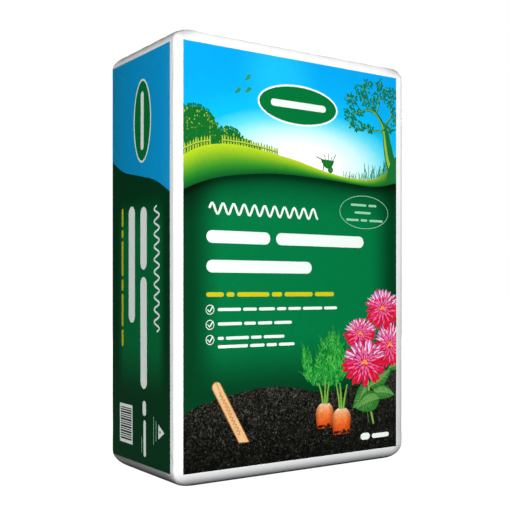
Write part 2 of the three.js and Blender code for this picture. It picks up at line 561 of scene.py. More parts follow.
def side_sky(tree):
    """Without the glow; darker than the front's sky as painted shade, and darker still towards the back."""
    back = calc(tree, "MULTIPLY_ADD", spot_xyz(tree)["Y"], 1 / (DEPTH * MM), 0.5)
    return mottled(tree, ramp(tree, back, [
        (0.05, (24, 162, 222)), (0.20, (0, 158, 222)), (0.80, (0, 150, 206)), (0.98, (6, 140, 186)),
    ]), amount=0.03)


def sky(tree):
    spot = spot_xyz(tree)
    away = calc(tree, "DIVIDE", oval_distance(tree, spot, GLOW, GLOW_SIZE), GLOW_REACH)
    colour = ramp(tree, away, [
        (0.15, (255, 254, 252)), (0.30, (208, 251, 249)), (0.44, (98, 221, 243)),
        (0.54, (6, 190, 242)), (0.74, (0, 173, 241)), (0.95, (0, 166, 239)),
    ])
    patch = oval_distance(tree, spot, PATCH, PATCH_SIZE)
    bright = feed(
        tree, "ShaderNodeMapRange", {"interpolation_type": "SMOOTHSTEP"},
        {"Value": patch, "From Min": 0.2, "From Max": 1.3, "To Min": 0.6, "To Max": 0.0})
    return mottled(tree, blend(tree, bright, colour, swatch(30, 200, 238)), amount=0.03)


def hill(tree):
    """Sunlit along its top, and in shade under the tree at the right."""
    green = ramp(tree, artwork(tree)["Y"], [
        (0.00, (10, 88, 34)), (0.15, (25, 110, 40)), (0.33, (48, 139, 38)), (0.50, (88, 160, 38)),
        (0.70, (135, 186, 35)), (0.88, (168, 203, 32)), (1.00, (186, 214, 34)),
    ])
    along = calc(tree, "MULTIPLY_ADD", spot_xyz(tree)["X"], 1 / (WIDTH * MM), 0.5)
    shade = ramp(tree, along, [(0.76, (0, 0, 0)), (0.95, (235, 235, 235))])
    return mottled(tree, blend(tree, shade, green, swatch(22, 104, 44)), amount=0.05)


# The field's dark rim: how far in it ends, in metres, and how wide it fades, at the left and the
# right as a share of the face's width and at the foot in metres.
FIELD_GREEN = (0, 117, 63)
FIELD_INSET = 0.028
FIELD_LEFT_FADE, FIELD_RIGHT_FADE = 0.136, 0.128
FIELD_FOOT_FADE = 0.110


def field_colour(tree, axis, width, foot, head, head_fade, peak, rim):
    """Field green, light in the middle of its panel and dark towards the rim."""
    spot = spot_xyz(tree)
    light = group(tree, lit_panel, {
        "Across": calc(tree, "SUBTRACT", spot[axis], -width / 2), "Up": spot["Z"],
        "Left": FIELD_INSET, "Left Fade": FIELD_LEFT_FADE * width,
        "Right": width - FIELD_INSET, "Right Fade": FIELD_RIGHT_FADE * width,
        "Foot": foot, "Foot Fade": FIELD_FOOT_FADE, "Head": head, "Head Fade": head_fade,
    })["Light"]
    level = calc(tree, "MULTIPLY_ADD", light, peak - rim, rim)
    return multiply(tree, 1.0, mottled(tree, swatch(*FIELD_GREEN), amount=0.06), grey_of(tree, level))


def front_field(tree):
    """The hill throws a soft shadow on the field: `artwork` counts the way down from its edge."""
    green = field_colour(tree, "X", WIDTH * MM, foot=0.143, head=2.0, head_fade=0.1, peak=1.0, rim=0.27)
    shadow = ramp(tree, artwork(tree)["Y"], [
        (0.35, (255, 255, 255)), (0.58, (233, 233, 233)), (0.76, (205, 205, 205)),
        (0.86, (172, 172, 172)), (0.94, (118, 118, 118)), (1.00, (96, 96, 96)),
    ])
    return multiply(tree, 1.0, green, shadow)


def side_field(tree):
    # The printed field, with its light middle set lower than the front's partly as painted shade on the
    # sides.
    return field_colour(tree, "Y", DEPTH * MM, foot=0.132, head=0.493, head_fade=0.075, peak=0.82, rim=0.23)


def soil(tree):
    """Tangled dark crumbs with a few paler ones among them, browner towards the top of the mound."""
    spot = place(tree, "ShaderNodeTexCoord").outputs["Object"]
    tangle = feed(tree, "ShaderNodeTexNoise", None, {
        "Vector": spot, "Scale": 150.0, "Detail": 4.0, "Roughness": 0.66, "Distortion": 2.0})
    small = group(tree, crumbs, {"Scale": 250.0, "Size": 0.60})
    crumb = calc(tree, "MULTIPLY", small["Grain"], calc(tree, "POWER", small["Tone"], 3.0))
    up = artwork(tree)["Y"]
    level = calc(tree, "MULTIPLY_ADD", crumb, 0.16, tangle)
    level = calc(tree, "MULTIPLY_ADD", up, 0.12, calc(tree, "SUBTRACT", level, 0.05))
    return ramp(tree, level, [
        (0.42, (4, 5, 3)), (0.51, (15, 16, 12)), (0.58, (36, 36, 31)),
        (0.65, (66, 64, 57)), (0.76, (108, 104, 95)),
    ])


for colour_of in (white_film, sky, side_sky, hill, front_field, side_field, soil):
    new_ink(colour_of.__name__, colour_of)
print("inks so far:", list(inks))

# %% [markdown]
# ## Inks for the plants
#
# Leaves and petals are small, so a plain ink with a little mottle is enough for most of them. The
# hedge is speckled with lit leaves near its top, and the carrots and the wooden label run through a
# gradient.

# %% Plant inks
def hedge(tree):
    leaf = group(tree, crumbs, {"Scale": 210.0, "Size": 0.42})
    lit = calc(tree, "MULTIPLY", leaf["Grain"], calc(tree, "GREATER_THAN", leaf["Tone"], 0.55))
    up = calc(tree, "POWER", artwork(tree)["Y"], 2.0)
    mask = calc(tree, "MULTIPLY", calc(tree, "MULTIPLY", lit, up), 3.2)
    mask = feed(tree, "ShaderNodeClamp", None, {0: mask})
    return blend(tree, mask, swatch(14, 108, 40), swatch(150, 185, 60))


def carrot(tree):
    body = ramp(tree, artwork(tree)["Y"], [
        (0.00, (196, 62, 18)), (0.25, (226, 92, 30)), (0.55, (238, 128, 62)),
        (0.80, (240, 168, 118)), (0.95, (236, 204, 176)),
    ])
    side = ramp(tree, artwork(tree)["X"], [
        (0.00, (170, 150, 140)), (0.22, (255, 255, 255)), (0.70, (255, 250, 245)), (1.00, (190, 150, 130)),
    ])
    return mottled(tree, multiply(tree, 1.0, body, side), scale=260.0, amount=0.30)


LABEL_TOP = (80, 170)
LABEL_FOOT = (134, 74)
LABEL_LEAN = math.atan2(LABEL_FOOT[0] - LABEL_TOP[0], LABEL_TOP[1] - LABEL_FOOT[1])


def bare_wood(tree):
    spot = place(tree, "ShaderNodeTexCoord").outputs["Object"]
    turned = feed(
        tree, "ShaderNodeMapping", {"vector_type": "TEXTURE"},
        {"Vector": spot, "Rotation": (0, -LABEL_LEAN, 0), "Scale": (0.002, 1.0, 0.04)})
    grain = feed(tree, "ShaderNodeTexNoise", None, {"Vector": turned, "Scale": 1.0, "Detail": 4.0})
    return ramp(tree, grain, [
        (0.30, (206, 152, 98)), (0.48, (228, 182, 126)), (0.62, (240, 202, 152)), (0.80, (216, 168, 112)),
    ])


for colour_of in (hedge, carrot, bare_wood):
    new_ink(colour_of.__name__, colour_of)

PLAIN_INKS = [
    # name, colour, how mottled it is
    ("wood_edge", (168, 112, 62), 0.1), ("wood_mark", (186, 130, 84), 0.1),
    ("picket", (178, 200, 56), 0.1), ("picket_shade", (42, 122, 44), 0.1), ("bark", (24, 112, 52), 0.1),
    ("bark_lit", (150, 190, 56), 0.1), ("tree_leaf", (14, 112, 78), 0.3),
    ("tree_leaf_lit", (66, 150, 92), 0.3), ("drifting_leaf", (46, 140, 96), 0.3),
    ("grass", (24, 112, 44), 0.3), ("grass_lit", (100, 168, 52), 0.3), ("stalk", (128, 176, 66), 0.2),
    ("frond", (28, 150, 52), 0.3), ("frond_dark", (14, 118, 46), 0.3),
    ("frond_lit", (88, 182, 78), 0.3), ("frond_deep", (6, 90, 40), 0.3), ("leaf", (50, 122, 48), 0.35),
    ("leaf_lit", (92, 152, 76), 0.35), ("leaf_rim", (24, 74, 28), 0.2),
    ("leaf_vein", (122, 168, 92), 0.2), ("petal_shade", (128, 8, 48), 0.3),
    ("petal_red", (214, 22, 44), 0.3), ("petal_deep", (196, 18, 74), 0.3),
    ("petal", (230, 50, 112), 0.3), ("petal_pink", (240, 122, 168), 0.25),
    ("petal_pale", (250, 214, 230), 0.2), ("petal_lilac", (186, 132, 200), 0.3),
    ("flower_eye", (244, 150, 92), 0.3), ("pale_green", (150, 205, 170), 0.05),
    ("white_ink", (236, 246, 240), 0.03), ("yellow_ink", (206, 196, 28), 0.05),
    ("plaque_green", (0, 114, 54), 0.05), ("label_black", (24, 24, 24), 0.05),
]
for name, colour, amount in PLAIN_INKS:
    new_ink(name, lambda tree: mottled(tree, swatch(*colour), amount=amount))
print(len(inks), "inks")

# %% [markdown]
# ## Motifs that repeat
#
# Pickets, blades of grass, leaves and petals each repeat dozens of times by a rule, so Geometry
# Nodes lay them out, flat, in the millimetres of the web. Three trees are enough:
#
# - `row_on_path` stands blades along a line: fence pickets, grass, the bushy edge of a hedge, and,
#   with a spread, the leaflets of a frond;
# - `ring_of_petals` turns petals round a middle;
# - `scattered_leaves` strews leaves over an area.
#
# Their flat polygons are then read back and laid on the print like any other shape.

# %% Geometry Nodes: parts that the motifs share
BLADE_CORNERS = 8
SIZE_SEED_STEP = 7.0
UPWARDS = math.pi / 2


def blade(tree, take):
    """An oval that starts at the origin and lies along X. Its point, if any, narrows its tip."""
    disc = feed(
        tree, "GeometryNodeMeshCircle", {"fill_type": "NGON"}, {"Vertices": BLADE_CORNERS, "Radius": 0.5})
    spot = feed(tree, "GeometryNodeInputPosition")
    parts = place(tree, "ShaderNodeSeparateXYZ", None, {0: spot}).outputs
    point = calc(tree, "MULTIPLY", take["Point"], 1.5)
    narrow = calc(tree, "SUBTRACT", 1.0, calc(tree, "MULTIPLY", parts["X"], point))
    along = calc(tree, "MULTIPLY", calc(tree, "ADD", parts["X"], 0.5), take["Length"])
    across = calc(tree, "MULTIPLY", calc(tree, "MULTIPLY", parts["Y"], narrow), take["Width"])
    shaped = feed(tree, "ShaderNodeCombineXYZ", None, {0: along, 1: across})
    return feed(tree, "GeometryNodeSetPosition", None, {"Geometry": disc, "Position": shaped})


def random_between(tree, low_value, high_value, seed):
    inputs = {2: low_value, 3: high_value, "Seed": seed}
    return place(tree, "FunctionNodeRandomValue", {"data_type": "FLOAT"}, inputs).outputs[1]


def spin(tree, angle):
    return feed(tree, "ShaderNodeCombineXYZ", None, {2: angle})


def leaning(tree, take, heading):
    """The heading, give or take the lean."""
    least = calc(tree, "MULTIPLY", take["Lean"], -1.0)
    return calc(tree, "ADD", heading, random_between(tree, least, take["Lean"], take["Seed"]))


def blades_on(tree, take, points, heading, taper=1.0):
    """A blade on each point, each with its own lean and its own size."""
    least = calc(tree, "SUBTRACT", 1.0, take["Vary"])
    own = random_between(tree, least, 1.0, calc(tree, "ADD", take["Seed"], SIZE_SEED_STEP))
    return feed(tree, "GeometryNodeInstanceOnPoints", None, {
        "Points": points, "Instance": blade(tree, take), "Rotation": spin(tree, leaning(tree, take, heading)),
        "Scale": calc(tree, "MULTIPLY", own, taper)})


def motif_group(name, own_inputs):
    """A tree with its own inputs, and those that shape, vary and ink its blades."""
    takes = {
        **own_inputs, "Length": (FLOAT, 10.0), "Width": (FLOAT, 3.0), "Point": (FLOAT, 0.0),
        "Lean": (FLOAT, 0.1), "Vary": (FLOAT, 0.2), "Seed": (INT, 1), "Ink": (MATERIAL, None)}
    return new_group(name, "GeometryNodeTree", takes, {"Shapes": MESH})


def finish_tree(tree, give, geometry, material):
    real = feed(tree, "GeometryNodeRealizeInstances", None, {0: geometry})
    inked = feed(tree, "GeometryNodeSetMaterial", None, {"Geometry": real, "Material": material})
    tree.links.new(inked, give[0])


# %% Tree 1: blades in a row along a path
def make_row_on_path():
    tree, take, give = motif_group("row_on_path", {
        "Path": (MESH, None), "Pitch": (FLOAT, 5.0), "Spread": (FLOAT, 0.0), "Follow": (FLOAT, 0.0),
        "Shrink": (FLOAT, 0.0)})
    curve = feed(tree, "GeometryNodeMeshToCurve", None, {0: take["Path"]})
    even = feed(
        tree, "GeometryNodeResampleCurve", {"mode": "LENGTH"}, {"Curve": curve, "Length": take["Pitch"]})
    tangent = feed(tree, "GeometryNodeInputTangent")
    parts = place(tree, "ShaderNodeSeparateXYZ", None, {0: tangent}).outputs
    onward = calc(tree, "ARCTAN2", parts["Y"], parts["X"])
    base = calc(tree, "MULTIPLY_ADD", calc(tree, "SUBTRACT", onward, UPWARDS), take["Follow"], UPWARDS)
    number = feed(tree, "GeometryNodeInputIndex")
    side = calc(tree, "MULTIPLY_ADD", calc(tree, "MODULO", number, 2.0), 2.0, -1.0)
    heading = calc(tree, "MULTIPLY_ADD", side, take["Spread"], base)
    along = place(tree, "GeometryNodeSplineParameter").outputs["Factor"]
    taper = calc(tree, "SUBTRACT", 1.0, calc(tree, "MULTIPLY", along, take["Shrink"]))
    finish_tree(tree, give, blades_on(tree, take, even, heading, taper), take["Ink"])
    return tree


# %% Tree 2: petals round a middle
def make_ring_of_petals():
    tree, take, give = motif_group("ring_of_petals", {
        "Place": (MESH, None), "Count": (INT, 18), "Hub": (FLOAT, 0.3), "Turn": (FLOAT, 0.0)})
    hub = feed(
        tree, "GeometryNodeMeshCircle", {"fill_type": "NONE"},
        {"Vertices": take["Count"], "Radius": take["Hub"]})
    number = feed(tree, "GeometryNodeInputIndex")
    heading = calc(tree, "MULTIPLY", number, calc(tree, "DIVIDE", math.tau, take["Count"]))
    turned = feed(tree, "GeometryNodeTransform", None, {
        "Geometry": blades_on(tree, take, hub, heading), "Rotation": spin(tree, take["Turn"])})
    rings = feed(tree, "GeometryNodeInstanceOnPoints", None, {"Points": take["Place"], "Instance": turned})
    finish_tree(tree, give, rings, take["Ink"])
    return tree


# %% Tree 3: leaves strewn over an area
def make_scattered_leaves():
    tree, take, give = motif_group("scattered_leaves", {
        "Area": (MESH, None), "Each mm2": (FLOAT, 0.02), "Heading": (FLOAT, 0.0)})
    points = feed(
        tree, "GeometryNodeDistributePointsOnFaces", {"distribute_method": "RANDOM"},
        {"Mesh": take["Area"], "Density": take["Each mm2"], "Seed": take["Seed"]})
    finish_tree(tree, give, blades_on(tree, take, points, take["Heading"]), take["Ink"])
    return tree


row_on_path = make_row_on_path()
ring_of_petals = make_ring_of_petals()
scattered_leaves = make_scattered_leaves()
print("motif trees:", row_on_path.name, ring_of_petals.name, scattered_leaves.name)

# %% [markdown]
# ## Running a motif
#
# A motif runs on a scratch object whose mesh is the path, the middle or the area. Its inputs are
# set by their identifiers before the object is first evaluated. The result is turned into a plain
# mesh, its polygons are read, and the scratch object is deleted.

# %% Run a Geometry Nodes tree
def run_tree(tree, mesh, values):
    made = add_object("motif", mesh)
    modifier = made.modifiers.new("motif", "NODES")
    modifier.node_group = tree
    sockets = {item.name: item.identifier for item in tree.interface.items_tree if item.in_out == "INPUT"}
    for name, value in values.items():
        modifier[sockets[name]] = value
    graph = bpy.context.evaluated_depsgraph_get()
    result = bpy.data.meshes.new_from_object(made.evaluated_get(graph))
    bpy.data.objects.remove(made)
    bpy.data.meshes.remove(mesh)
    return result


def flat_mesh(points, kind):
    """The motif's starting mesh: a path of edges, a few loose middles, or one filled area."""
    mesh = bpy.data.meshes.new("start")
    corners = [(s, t, 0.0) for s, t in points]
    edges = [(i, i + 1) for i in range(len(corners) - 1)] if kind == "path" else []
    faces = [range(len(corners))] if kind == "area" else []
    mesh.from_pydata(corners, edges, faces)
    return mesh


# %% [markdown]
# ## The layout sheet
#
# `sheet` is the artwork: a list of closed shapes in the order in which they are laid, each over the
# ones before it. Beside its ink and outline a shape may have a `head` and a `foot` line, between
# which its gradient runs. Without them the gradient runs over the shape's own box.

# %% Lay shapes on the sheet
sheet = []
LEAST_TURN = 0.2


def lay(ink, outline, head=None, foot=None):
    inside = WEB_LEFT + 1, WEB_RIGHT - 1
    outline = [(float(np.clip(s, *inside)), float(t)) for s, t in outline]
    turn = sum(a[0] * b[1] - b[0] * a[1] for a, b in zip(outline, outline[1:] + outline[:1]))
    if abs(turn) < LEAST_TURN:
        return
    sheet.append((ink, outline if turn > 0 else outline[::-1], head, foot))


def motif(tree, kind, points, ink, **values):
    named = {name.replace("_", " "): value for name, value in values.items()}
    result = run_tree(tree, flat_mesh(points, kind), {**named, "Ink": inks[ink]})
    outlines = [[tuple(result.vertices[i].co.xy) for i in polygon.vertices] for polygon in result.polygons]
    bpy.data.meshes.remove(result)
    return outlines


def lay_row(path, ink, **values):
    for outline in motif(row_on_path, "path", path, ink, **values):
        lay(ink, outline)


def strew(area, ink, **values):
    for outline in motif(scattered_leaves, "area", area, ink, **values):
        lay(ink, outline)


def smooth(points, steps=4):
    """A curve through a few points, with the given number of steps between each two."""
    last = len(points) - 1
    curve = []
    for i in range(last):
        before, start, end, after = (np.array(points[min(max(i + k, 0), last)], float) for k in (-1, 0, 1, 2))
        for step in range(steps):
            x = step / steps
            curve.append(tuple(0.5 * (
                2 * start + (end - before) * x + (2 * before - 5 * start + 4 * end - after) * x ** 2
                + (3 * start - before - 3 * end + after) * x ** 3)))
    return curve + [tuple(map(float, points[-1]))]


def box(left, foot, right, head):
    return [(left, foot), (right, foot), (right, head), (left, head)]


def oval(middle, half_s, half_t, steps):
    turns = [math.tau * i / steps for i in range(steps)]
    return [(middle[0] + half_s * math.cos(a), middle[1] + half_t * math.sin(a)) for a in turns]


def band(points, begin, end=None):
    """A strip along a curve, as wide as begin at its start and end at its finish."""
    end = begin if end is None else end
    path = np.array(points, float)
    way = np.gradient(path, axis=0)
    way /= np.linalg.norm(way, axis=1, keepdims=True)
    half = np.linspace(begin, end, len(path))[:, None] / 2
    side = np.stack([-way[:, 1], way[:, 0]], axis=1) * half
    return [tuple(p) for p in (path + side)] + [tuple(p) for p in (path - side)[::-1]]


def bar(start, end, width, steps=6):
    """A strip with round ends."""
    a, b = np.array(start, float), np.array(end, float)
    heading = math.atan2(*(b - a)[::-1])
    outline = []
    for middle, first in ((b, heading - math.pi / 2), (a, heading + math.pi / 2)):
        for i in range(steps + 1):
            angle = first + math.pi * i / steps
            outline.append((middle[0] + width / 2 * math.cos(angle), middle[1] + width / 2 * math.sin(angle)))
    return outline


def pointed_leaf(base, tip, width, steps=6):
    a, b = np.array(base, float), np.array(tip, float)
    way = b - a
    side = np.array([-way[1], way[0]]) / np.linalg.norm(way) * width / 2
    swell = [math.sin(math.pi * (i / steps) ** 0.8) for i in range(steps + 1)]
    left = [tuple(a + way * i / steps + side * swell[i]) for i in range(steps + 1)]
    right = [tuple(a + way * i / steps - side * swell[i]) for i in range(steps - 1, 0, -1)]
    return left + right


def line_of(points):
    """A function that gives a line's height at any place along the web."""
    places, heights = zip(*points)
    return lambda s: np.interp(s, places, heights)


def under(line, level):
    """The area between a line and a level below it."""
    return line + [(line[-1][0], level), (line[0][0], level)]


# %% [markdown]
# ## Fields that every face has
#
# Each face has one printed panel, which stops short of the creases so that the film's white shows
# along every edge. The two side panels run nearly to the rear creases. On all four the dark green
# field reaches up to a rolling line, which meets itself at each corner of the bag.

# %% Panels
PRINT_EDGE = 17.0
PRINT_FOOT = 32.0
PRINT_HEAD = 737.5
SIDE_HEAD = 735.3
FRONT_PRINT = 466.0
SIDE_REAR = DEPTH - 3.5
BACK_LEFT = WIDTH + DEPTH
PANELS = [
    # ink of its sky, left, right, head
    ("sky", PRINT_EDGE, PRINT_EDGE + FRONT_PRINT, PRINT_HEAD),
    ("side_sky", -SIDE_REAR, -PRINT_EDGE, SIDE_HEAD),
    ("side_sky", WIDTH + PRINT_EDGE, WIDTH + SIDE_REAR, SIDE_HEAD),
    ("sky", BACK_LEFT + PRINT_EDGE, WEB_RIGHT - PRINT_EDGE, PRINT_HEAD),
]
for ink, left, right, head in PANELS:
    lay(ink, box(left, PRINT_FOOT, right, head))
PANEL_COUNT = len(sheet)
print("panels:", PANEL_COUNT)

# %% [markdown]
# ## The garden on the front
#
# From back to front: a hedge with a picket fence before it, long grass, a tree and a barrow, and the
# hill that hides their feet. Each is a simple shape or a motif. The barrow stands alone.

# %% Hedge and fence
BELOW_HEDGE = 540
BELOW_HILL = 460
HILL_TOP = smooth([
    (-10, 534), (50, 567), (120, 576), (231, 562), (309, 545), (376, 537), (430, 541), (482, 571),
    (510, 588)], 8)
HEDGE_TOP = smooth([(8, 622), (28, 630), (44, 632), (62, 626), (72, 615), (80, 605), (85, 590), (90, 572)])
LOW_HEDGE_TOP = smooth([(84, 588), (92, 600), (108, 601), (122, 596), (134, 584), (150, 579), (166, 571)])

small_leaves = [((140, 690), (148, 698)), ((120, 667), (128, 672)), ((140, 671), (150, 675))]
for base, tip in small_leaves:
    lay("drifting_leaf", pointed_leaf(base, tip, 8))
    lay("drifting_leaf", pointed_leaf((base[0] - 4, base[1] - 3), (tip[0] - 4, tip[1] - 5), 5))

for top in (HEDGE_TOP, LOW_HEDGE_TOP):
    lay_row(top, "hedge", Pitch=3.4, Length=7.5, Width=5.0, Lean=0.9, Vary=0.5, Seed=3)
    lay_row(top, "frond_dark", Pitch=5.0, Length=5.5, Width=2.2, Lean=1.2, Vary=0.6, Seed=5)
    lay("hedge", under(top, BELOW_HEDGE))


def fence(path, seed):
    for ink, shift in (("picket_shade", 1.3), ("picket", 0.0)):
        moved = [(s + shift, t - 8 - shift) for s, t in path]
        lay_row(moved, ink, Pitch=5.4, Length=25.0, Width=3.0, Lean=0.05, Vary=0.12, Seed=seed)
    rail = [(s, t + 7) for s, t in path]
    lay("picket_shade", band([(s, t - 1.6) for s, t in rail], 1.6))
    lay("picket", band(rail, 2.2))


fence(smooth([(15, 553), (40, 565), (67, 572)]), 21)
fence(smooth([(91, 575), (134, 574), (170, 570), (202, 565)]), 22)
print("shapes with hedge and fence:", len(sheet))

# %% The hill, and what grows on its far side
FIELD_HEAD = smooth([
    (-10, 480), (40, 505), (100, 522), (200, 533), (309, 531), (420, 525), (482, 536), (510, 545)], 8)

GRASS = [
    # ink, line that it stands on, pitch, length, width, lean, seed
    ("grass", [(352, 535), (390, 535), (425, 537), (470, 560)], 2.6, 17.0, 1.5, 0.5, 31),
    ("grass", [(404, 536), (430, 540), (452, 548), (476, 562)], 2.2, 34.0, 1.6, 0.4, 32),
    ("grass_lit", [(380, 534), (425, 538), (455, 549)], 4.2, 20.0, 1.3, 0.5, 33),
]
for ink, line, pitch, length, width, lean, seed in GRASS:
    lay_row(smooth(line), ink, Pitch=pitch, Length=length, Width=width, Lean=lean, Vary=0.6, Seed=seed)

# %% [markdown]
# ## Tree and barrow
#
# The trunk and its branches are tapering bands along curves. The main ones have a thin lit band on
# their left. Leaves are strewn over a few oval areas round the branch ends.

# %% Tree
BRANCHES = [
    # points along the branch, width at its start, width at its end
    ([(498, 540), (480, 554), (467, 578), (460, 606), (455, 630), (449, 646)], 36, 10),
    ([(450, 640), (443, 652), (430, 664), (414, 668), (396, 664), (378, 658)], 9, 2),
    ([(431, 663), (438, 677), (441, 698), (438, 712)], 4, 1.5),
    ([(453, 638), (460, 650), (471, 664), (470, 684), (464, 700)], 6, 2),
    ([(452, 630), (436, 631), (416, 631), (396, 640), (376, 648)], 5, 1.5),
    ([(456, 628), (468, 634), (486, 640)], 5, 2),
    ([(412, 668), (404, 682), (398, 698)], 3, 1.2),
    ([(440, 690), (450, 700), (456, 712)], 2.4, 1.2),
    ([(396, 664), (384, 674), (376, 686)], 2.4, 1.2),
]
LIT_BRANCHES = 5
LIT_SHARE, LIT_SHIFT = 0.26, 0.25
for points, begin, end in BRANCHES:
    lay("bark", band(smooth(points), begin, end))
for points, begin, end in BRANCHES[:LIT_BRANCHES]:
    path = smooth(points)
    shifted = [(s - LIT_SHIFT * (begin + (end - begin) * i / len(path)), t) for i, (s, t) in enumerate(path)]
    lay("bark_lit", band(shifted, begin * LIT_SHARE, end * LIT_SHARE))

LEAF_AREAS = [
    # middle and half sizes of each oval of leaves
    ((371, 682), 15, 12), ((397, 702), 16, 14), ((412, 716), 12, 8), ((408, 684), 15, 9),
    ((439, 716), 10, 13), ((454, 702), 13, 13), ((474, 704), 10, 14), ((368, 654), 16, 13),
    ((384, 636), 20, 9), ((414, 634), 17, 7), ((464, 640), 14, 8), ((478, 664), 8, 18), ((430, 692), 10, 10),
    ((392, 660), 12, 7), ((424, 676), 10, 6), ((470, 682), 10, 8),
]
LEAF_KINDS = [
    # ink, leaves on each square millimetre, length, width
    ("tree_leaf", 0.085, 6.5, 4.2), ("tree_leaf_lit", 0.020, 5.0, 2.8),
]
for number, (middle, half_s, half_t) in enumerate(LEAF_AREAS):
    area = oval(middle, half_s, half_t, 12)
    for order, (ink, each, length, width) in enumerate(LEAF_KINDS):
        strew(area, ink, Each_mm2=each, Length=length, Width=width, Lean=math.pi, Vary=0.4,
              Seed=40 + 2 * number + order)

# %% Barrow
WHEEL = (321, 549)
lay("grass", [(298, 567), (330, 566), (325, 555), (312, 551), (305, 555)])
lay("grass", oval(WHEEL, 6, 6, 16))
lay("grass_lit", oval(WHEEL, 2.2, 2.2, 10))
BARROW_STRUTS = [
    # its leg, its handle, its wheel's arm, then the plants that stand in it
    ((306, 556), (303, 545), 2.0), ((303, 566), (289, 570), 2.0), ((312, 553), WHEEL, 2.2),
    ((310, 566), (307, 575), 1.2), ((316, 566), (317, 578), 1.2), ((322, 566), (325, 574), 1.2),
    ((326, 565), (333, 577), 1.4),
]
for start, end, width in BARROW_STRUTS:
    lay("grass", bar(start, end, width))

# %% The hill, and what grows before it
lay("hill", under(HILL_TOP, BELOW_HILL), head=line_of(HILL_TOP), foot=line_of(FIELD_HEAD))
lay_row(smooth([(356, 533), (392, 531), (430, 535), (452, 541)]), "grass_lit",
        Pitch=3.2, Length=11.0, Width=1.4, Lean=0.7, Vary=0.7, Seed=34)
TRUNK_FOOT = smooth([(458, 540), (462, 560), (474, 580), (496, 596)])
lay("bark", TRUNK_FOOT + [(500, 536), (478, 536)])
print("shapes with tree and barrow:", len(sheet))

# %% [markdown]
# ## The field, and plain marks where the words were
#
# The dark green field carries the pack's wording. A reusable part names no maker and no product,
# so each line of words is a row of plain bars, the badge is a plain oval, and a script line is a
# simple wave. Ticks in rings are generic, and they stay.

# %% Marks that stand for wording
SHADE_DEPTH = 100.0
BELOW_PRINT = 20.0
BADGE_RIM = 3.5
BADGE_BAR_REACH = 0.62
BADGE_BAR_WIDTH = 0.34


def lay_field(outline, line):
    """Field green, and down from the given line the shadow of the hill."""
    head = line_of(line)
    lay("front_field", outline, head=head, foot=lambda s: head(s) - SHADE_DEPTH)


def word_bars(ink, left, middle, width, words, gap):
    for length in words:
        lay(ink, bar((left + width / 2, middle), (left + length - width / 2, middle), width))
        left += length + gap


def wave(ink, left, right, middle, height, length, width):
    count = max(12, round((right - left) / length * 10))
    places = [left + (right - left) * i / count for i in range(count + 1)]
    lay(ink, band([(s, middle + height * math.sin(math.tau * (s - left) / length)) for s in places], width))


def ring(ink, middle, half_s, half_t, width):
    lay(ink, oval(middle, half_s, half_t, 32))
    lay_field(oval(middle, half_s - width, half_t - width, 32), FIELD_HEAD)


def badge(middle, half_s, half_t, upright=False):
    lay("white_ink", oval(middle, half_s, half_t, 40))
    lay("plaque_green", oval(middle, half_s - BADGE_RIM, half_t - BADGE_RIM, 40))
    reach = BADGE_BAR_REACH * (half_t if upright else half_s)
    ends = ((0, -reach), (0, reach)) if upright else ((-reach, 0), (reach, 0))
    start, end = ((middle[0] + a, middle[1] + b) for a, b in ends)
    lay("white_ink", bar(start, end, BADGE_BAR_WIDTH * min(half_s, half_t)))


# %% The front's marks
WORD_ROWS = [
    # ink, left end, middle, width of the bars, their lengths, gap
    ("white_ink", 60, 420, 21, (128, 200), 12),
    ("white_ink", 60, 371, 21, (218,), 12),
    ("yellow_ink", 60, 324, 7.5, (34, 16, 66, 22, 62, 44), 5),
    ("white_ink", 82, 299, 5.2, (46, 28, 34, 20, 28, 44, 30), 4),
    ("white_ink", 82, 275, 5.2, (48, 24, 30, 38), 4),
    ("white_ink", 82, 251, 5.2, (12, 46, 22, 44), 4),
    ("white_ink", 82, 237, 5.2, (60, 30, 22, 34), 4),
]
OVAL_PLACE = (402, 476)
OVAL_ROWS = [
    # middle, lengths
    (489, (38, 20)), (475, (40,)), (461, (30, 16, 34)),
]

lay_field(under(FIELD_HEAD, BELOW_PRINT), FIELD_HEAD)
badge((250, 657), 88, 36)
wave("white_ink", left=66, right=292, middle=467, height=9.0, length=21.0, width=4.2)
for row in WORD_ROWS:
    word_bars(*row)
for level in (299, 274, 249):
    ring("white_ink", (67, level), 8.2, 8.2, 1.2)
    lay("white_ink", band([(62.5, level + 0.5), (66, level - 4), (73, level + 6)], 2.2, 2.6))
ring("pale_green", OVAL_PLACE, 60, 31, 1.1)
for level, words in OVAL_ROWS:
    word_bars("pale_green", OVAL_PLACE[0] - sum(words) / 2 - 4, level, 4.2, words, 5)
print("shapes with the wording's marks:", len(sheet))

# %% [markdown]
# ## The mound of compost
#
# The mound's top line is smooth, but its edge is crumbly, so crumbs stand all along it. A wooden
# plant label leans in the mound on the left, and it is bare.

# %% Mound and label
MOUND_TOP = smooth([
    (-10, 112), (50, 142), (167, 163), (237, 159), (309, 147), (410, 160), (510, 184)], 8)
LABEL_WIDTH = 16.0
LABEL_RIM = 1.4
MARK_START, MARK_END, MARK_SWING, MARK_WAVES, MARK_STEPS = 0.10, 0.86, 2.6, 12, 8


def lay_mound(line, seed):
    lay("soil", under(line, BELOW_PRINT))
    lay_row([(s, t - 3) for s, t in line], "soil",
            Pitch=2.6, Length=6.0, Width=4.5, Lean=1.4, Vary=0.7, Seed=seed)


def label_strip(width, rim):
    """A flat strip with a round top and a level foot."""
    a, b = np.array(LABEL_TOP, float), np.array(LABEL_FOOT, float)
    way = (b - a) / np.linalg.norm(b - a)
    side = np.array([-way[1], way[0]]) * width / 2
    top = [a + math.cos(turn) * side - math.sin(turn) * way * width / 2
           for turn in (math.pi * i / 8 for i in range(9))]
    level = way * side[1] / way[1]
    return [tuple(p) for p in (b + way * rim + side - level, *top, b + way * rim - side + level)]


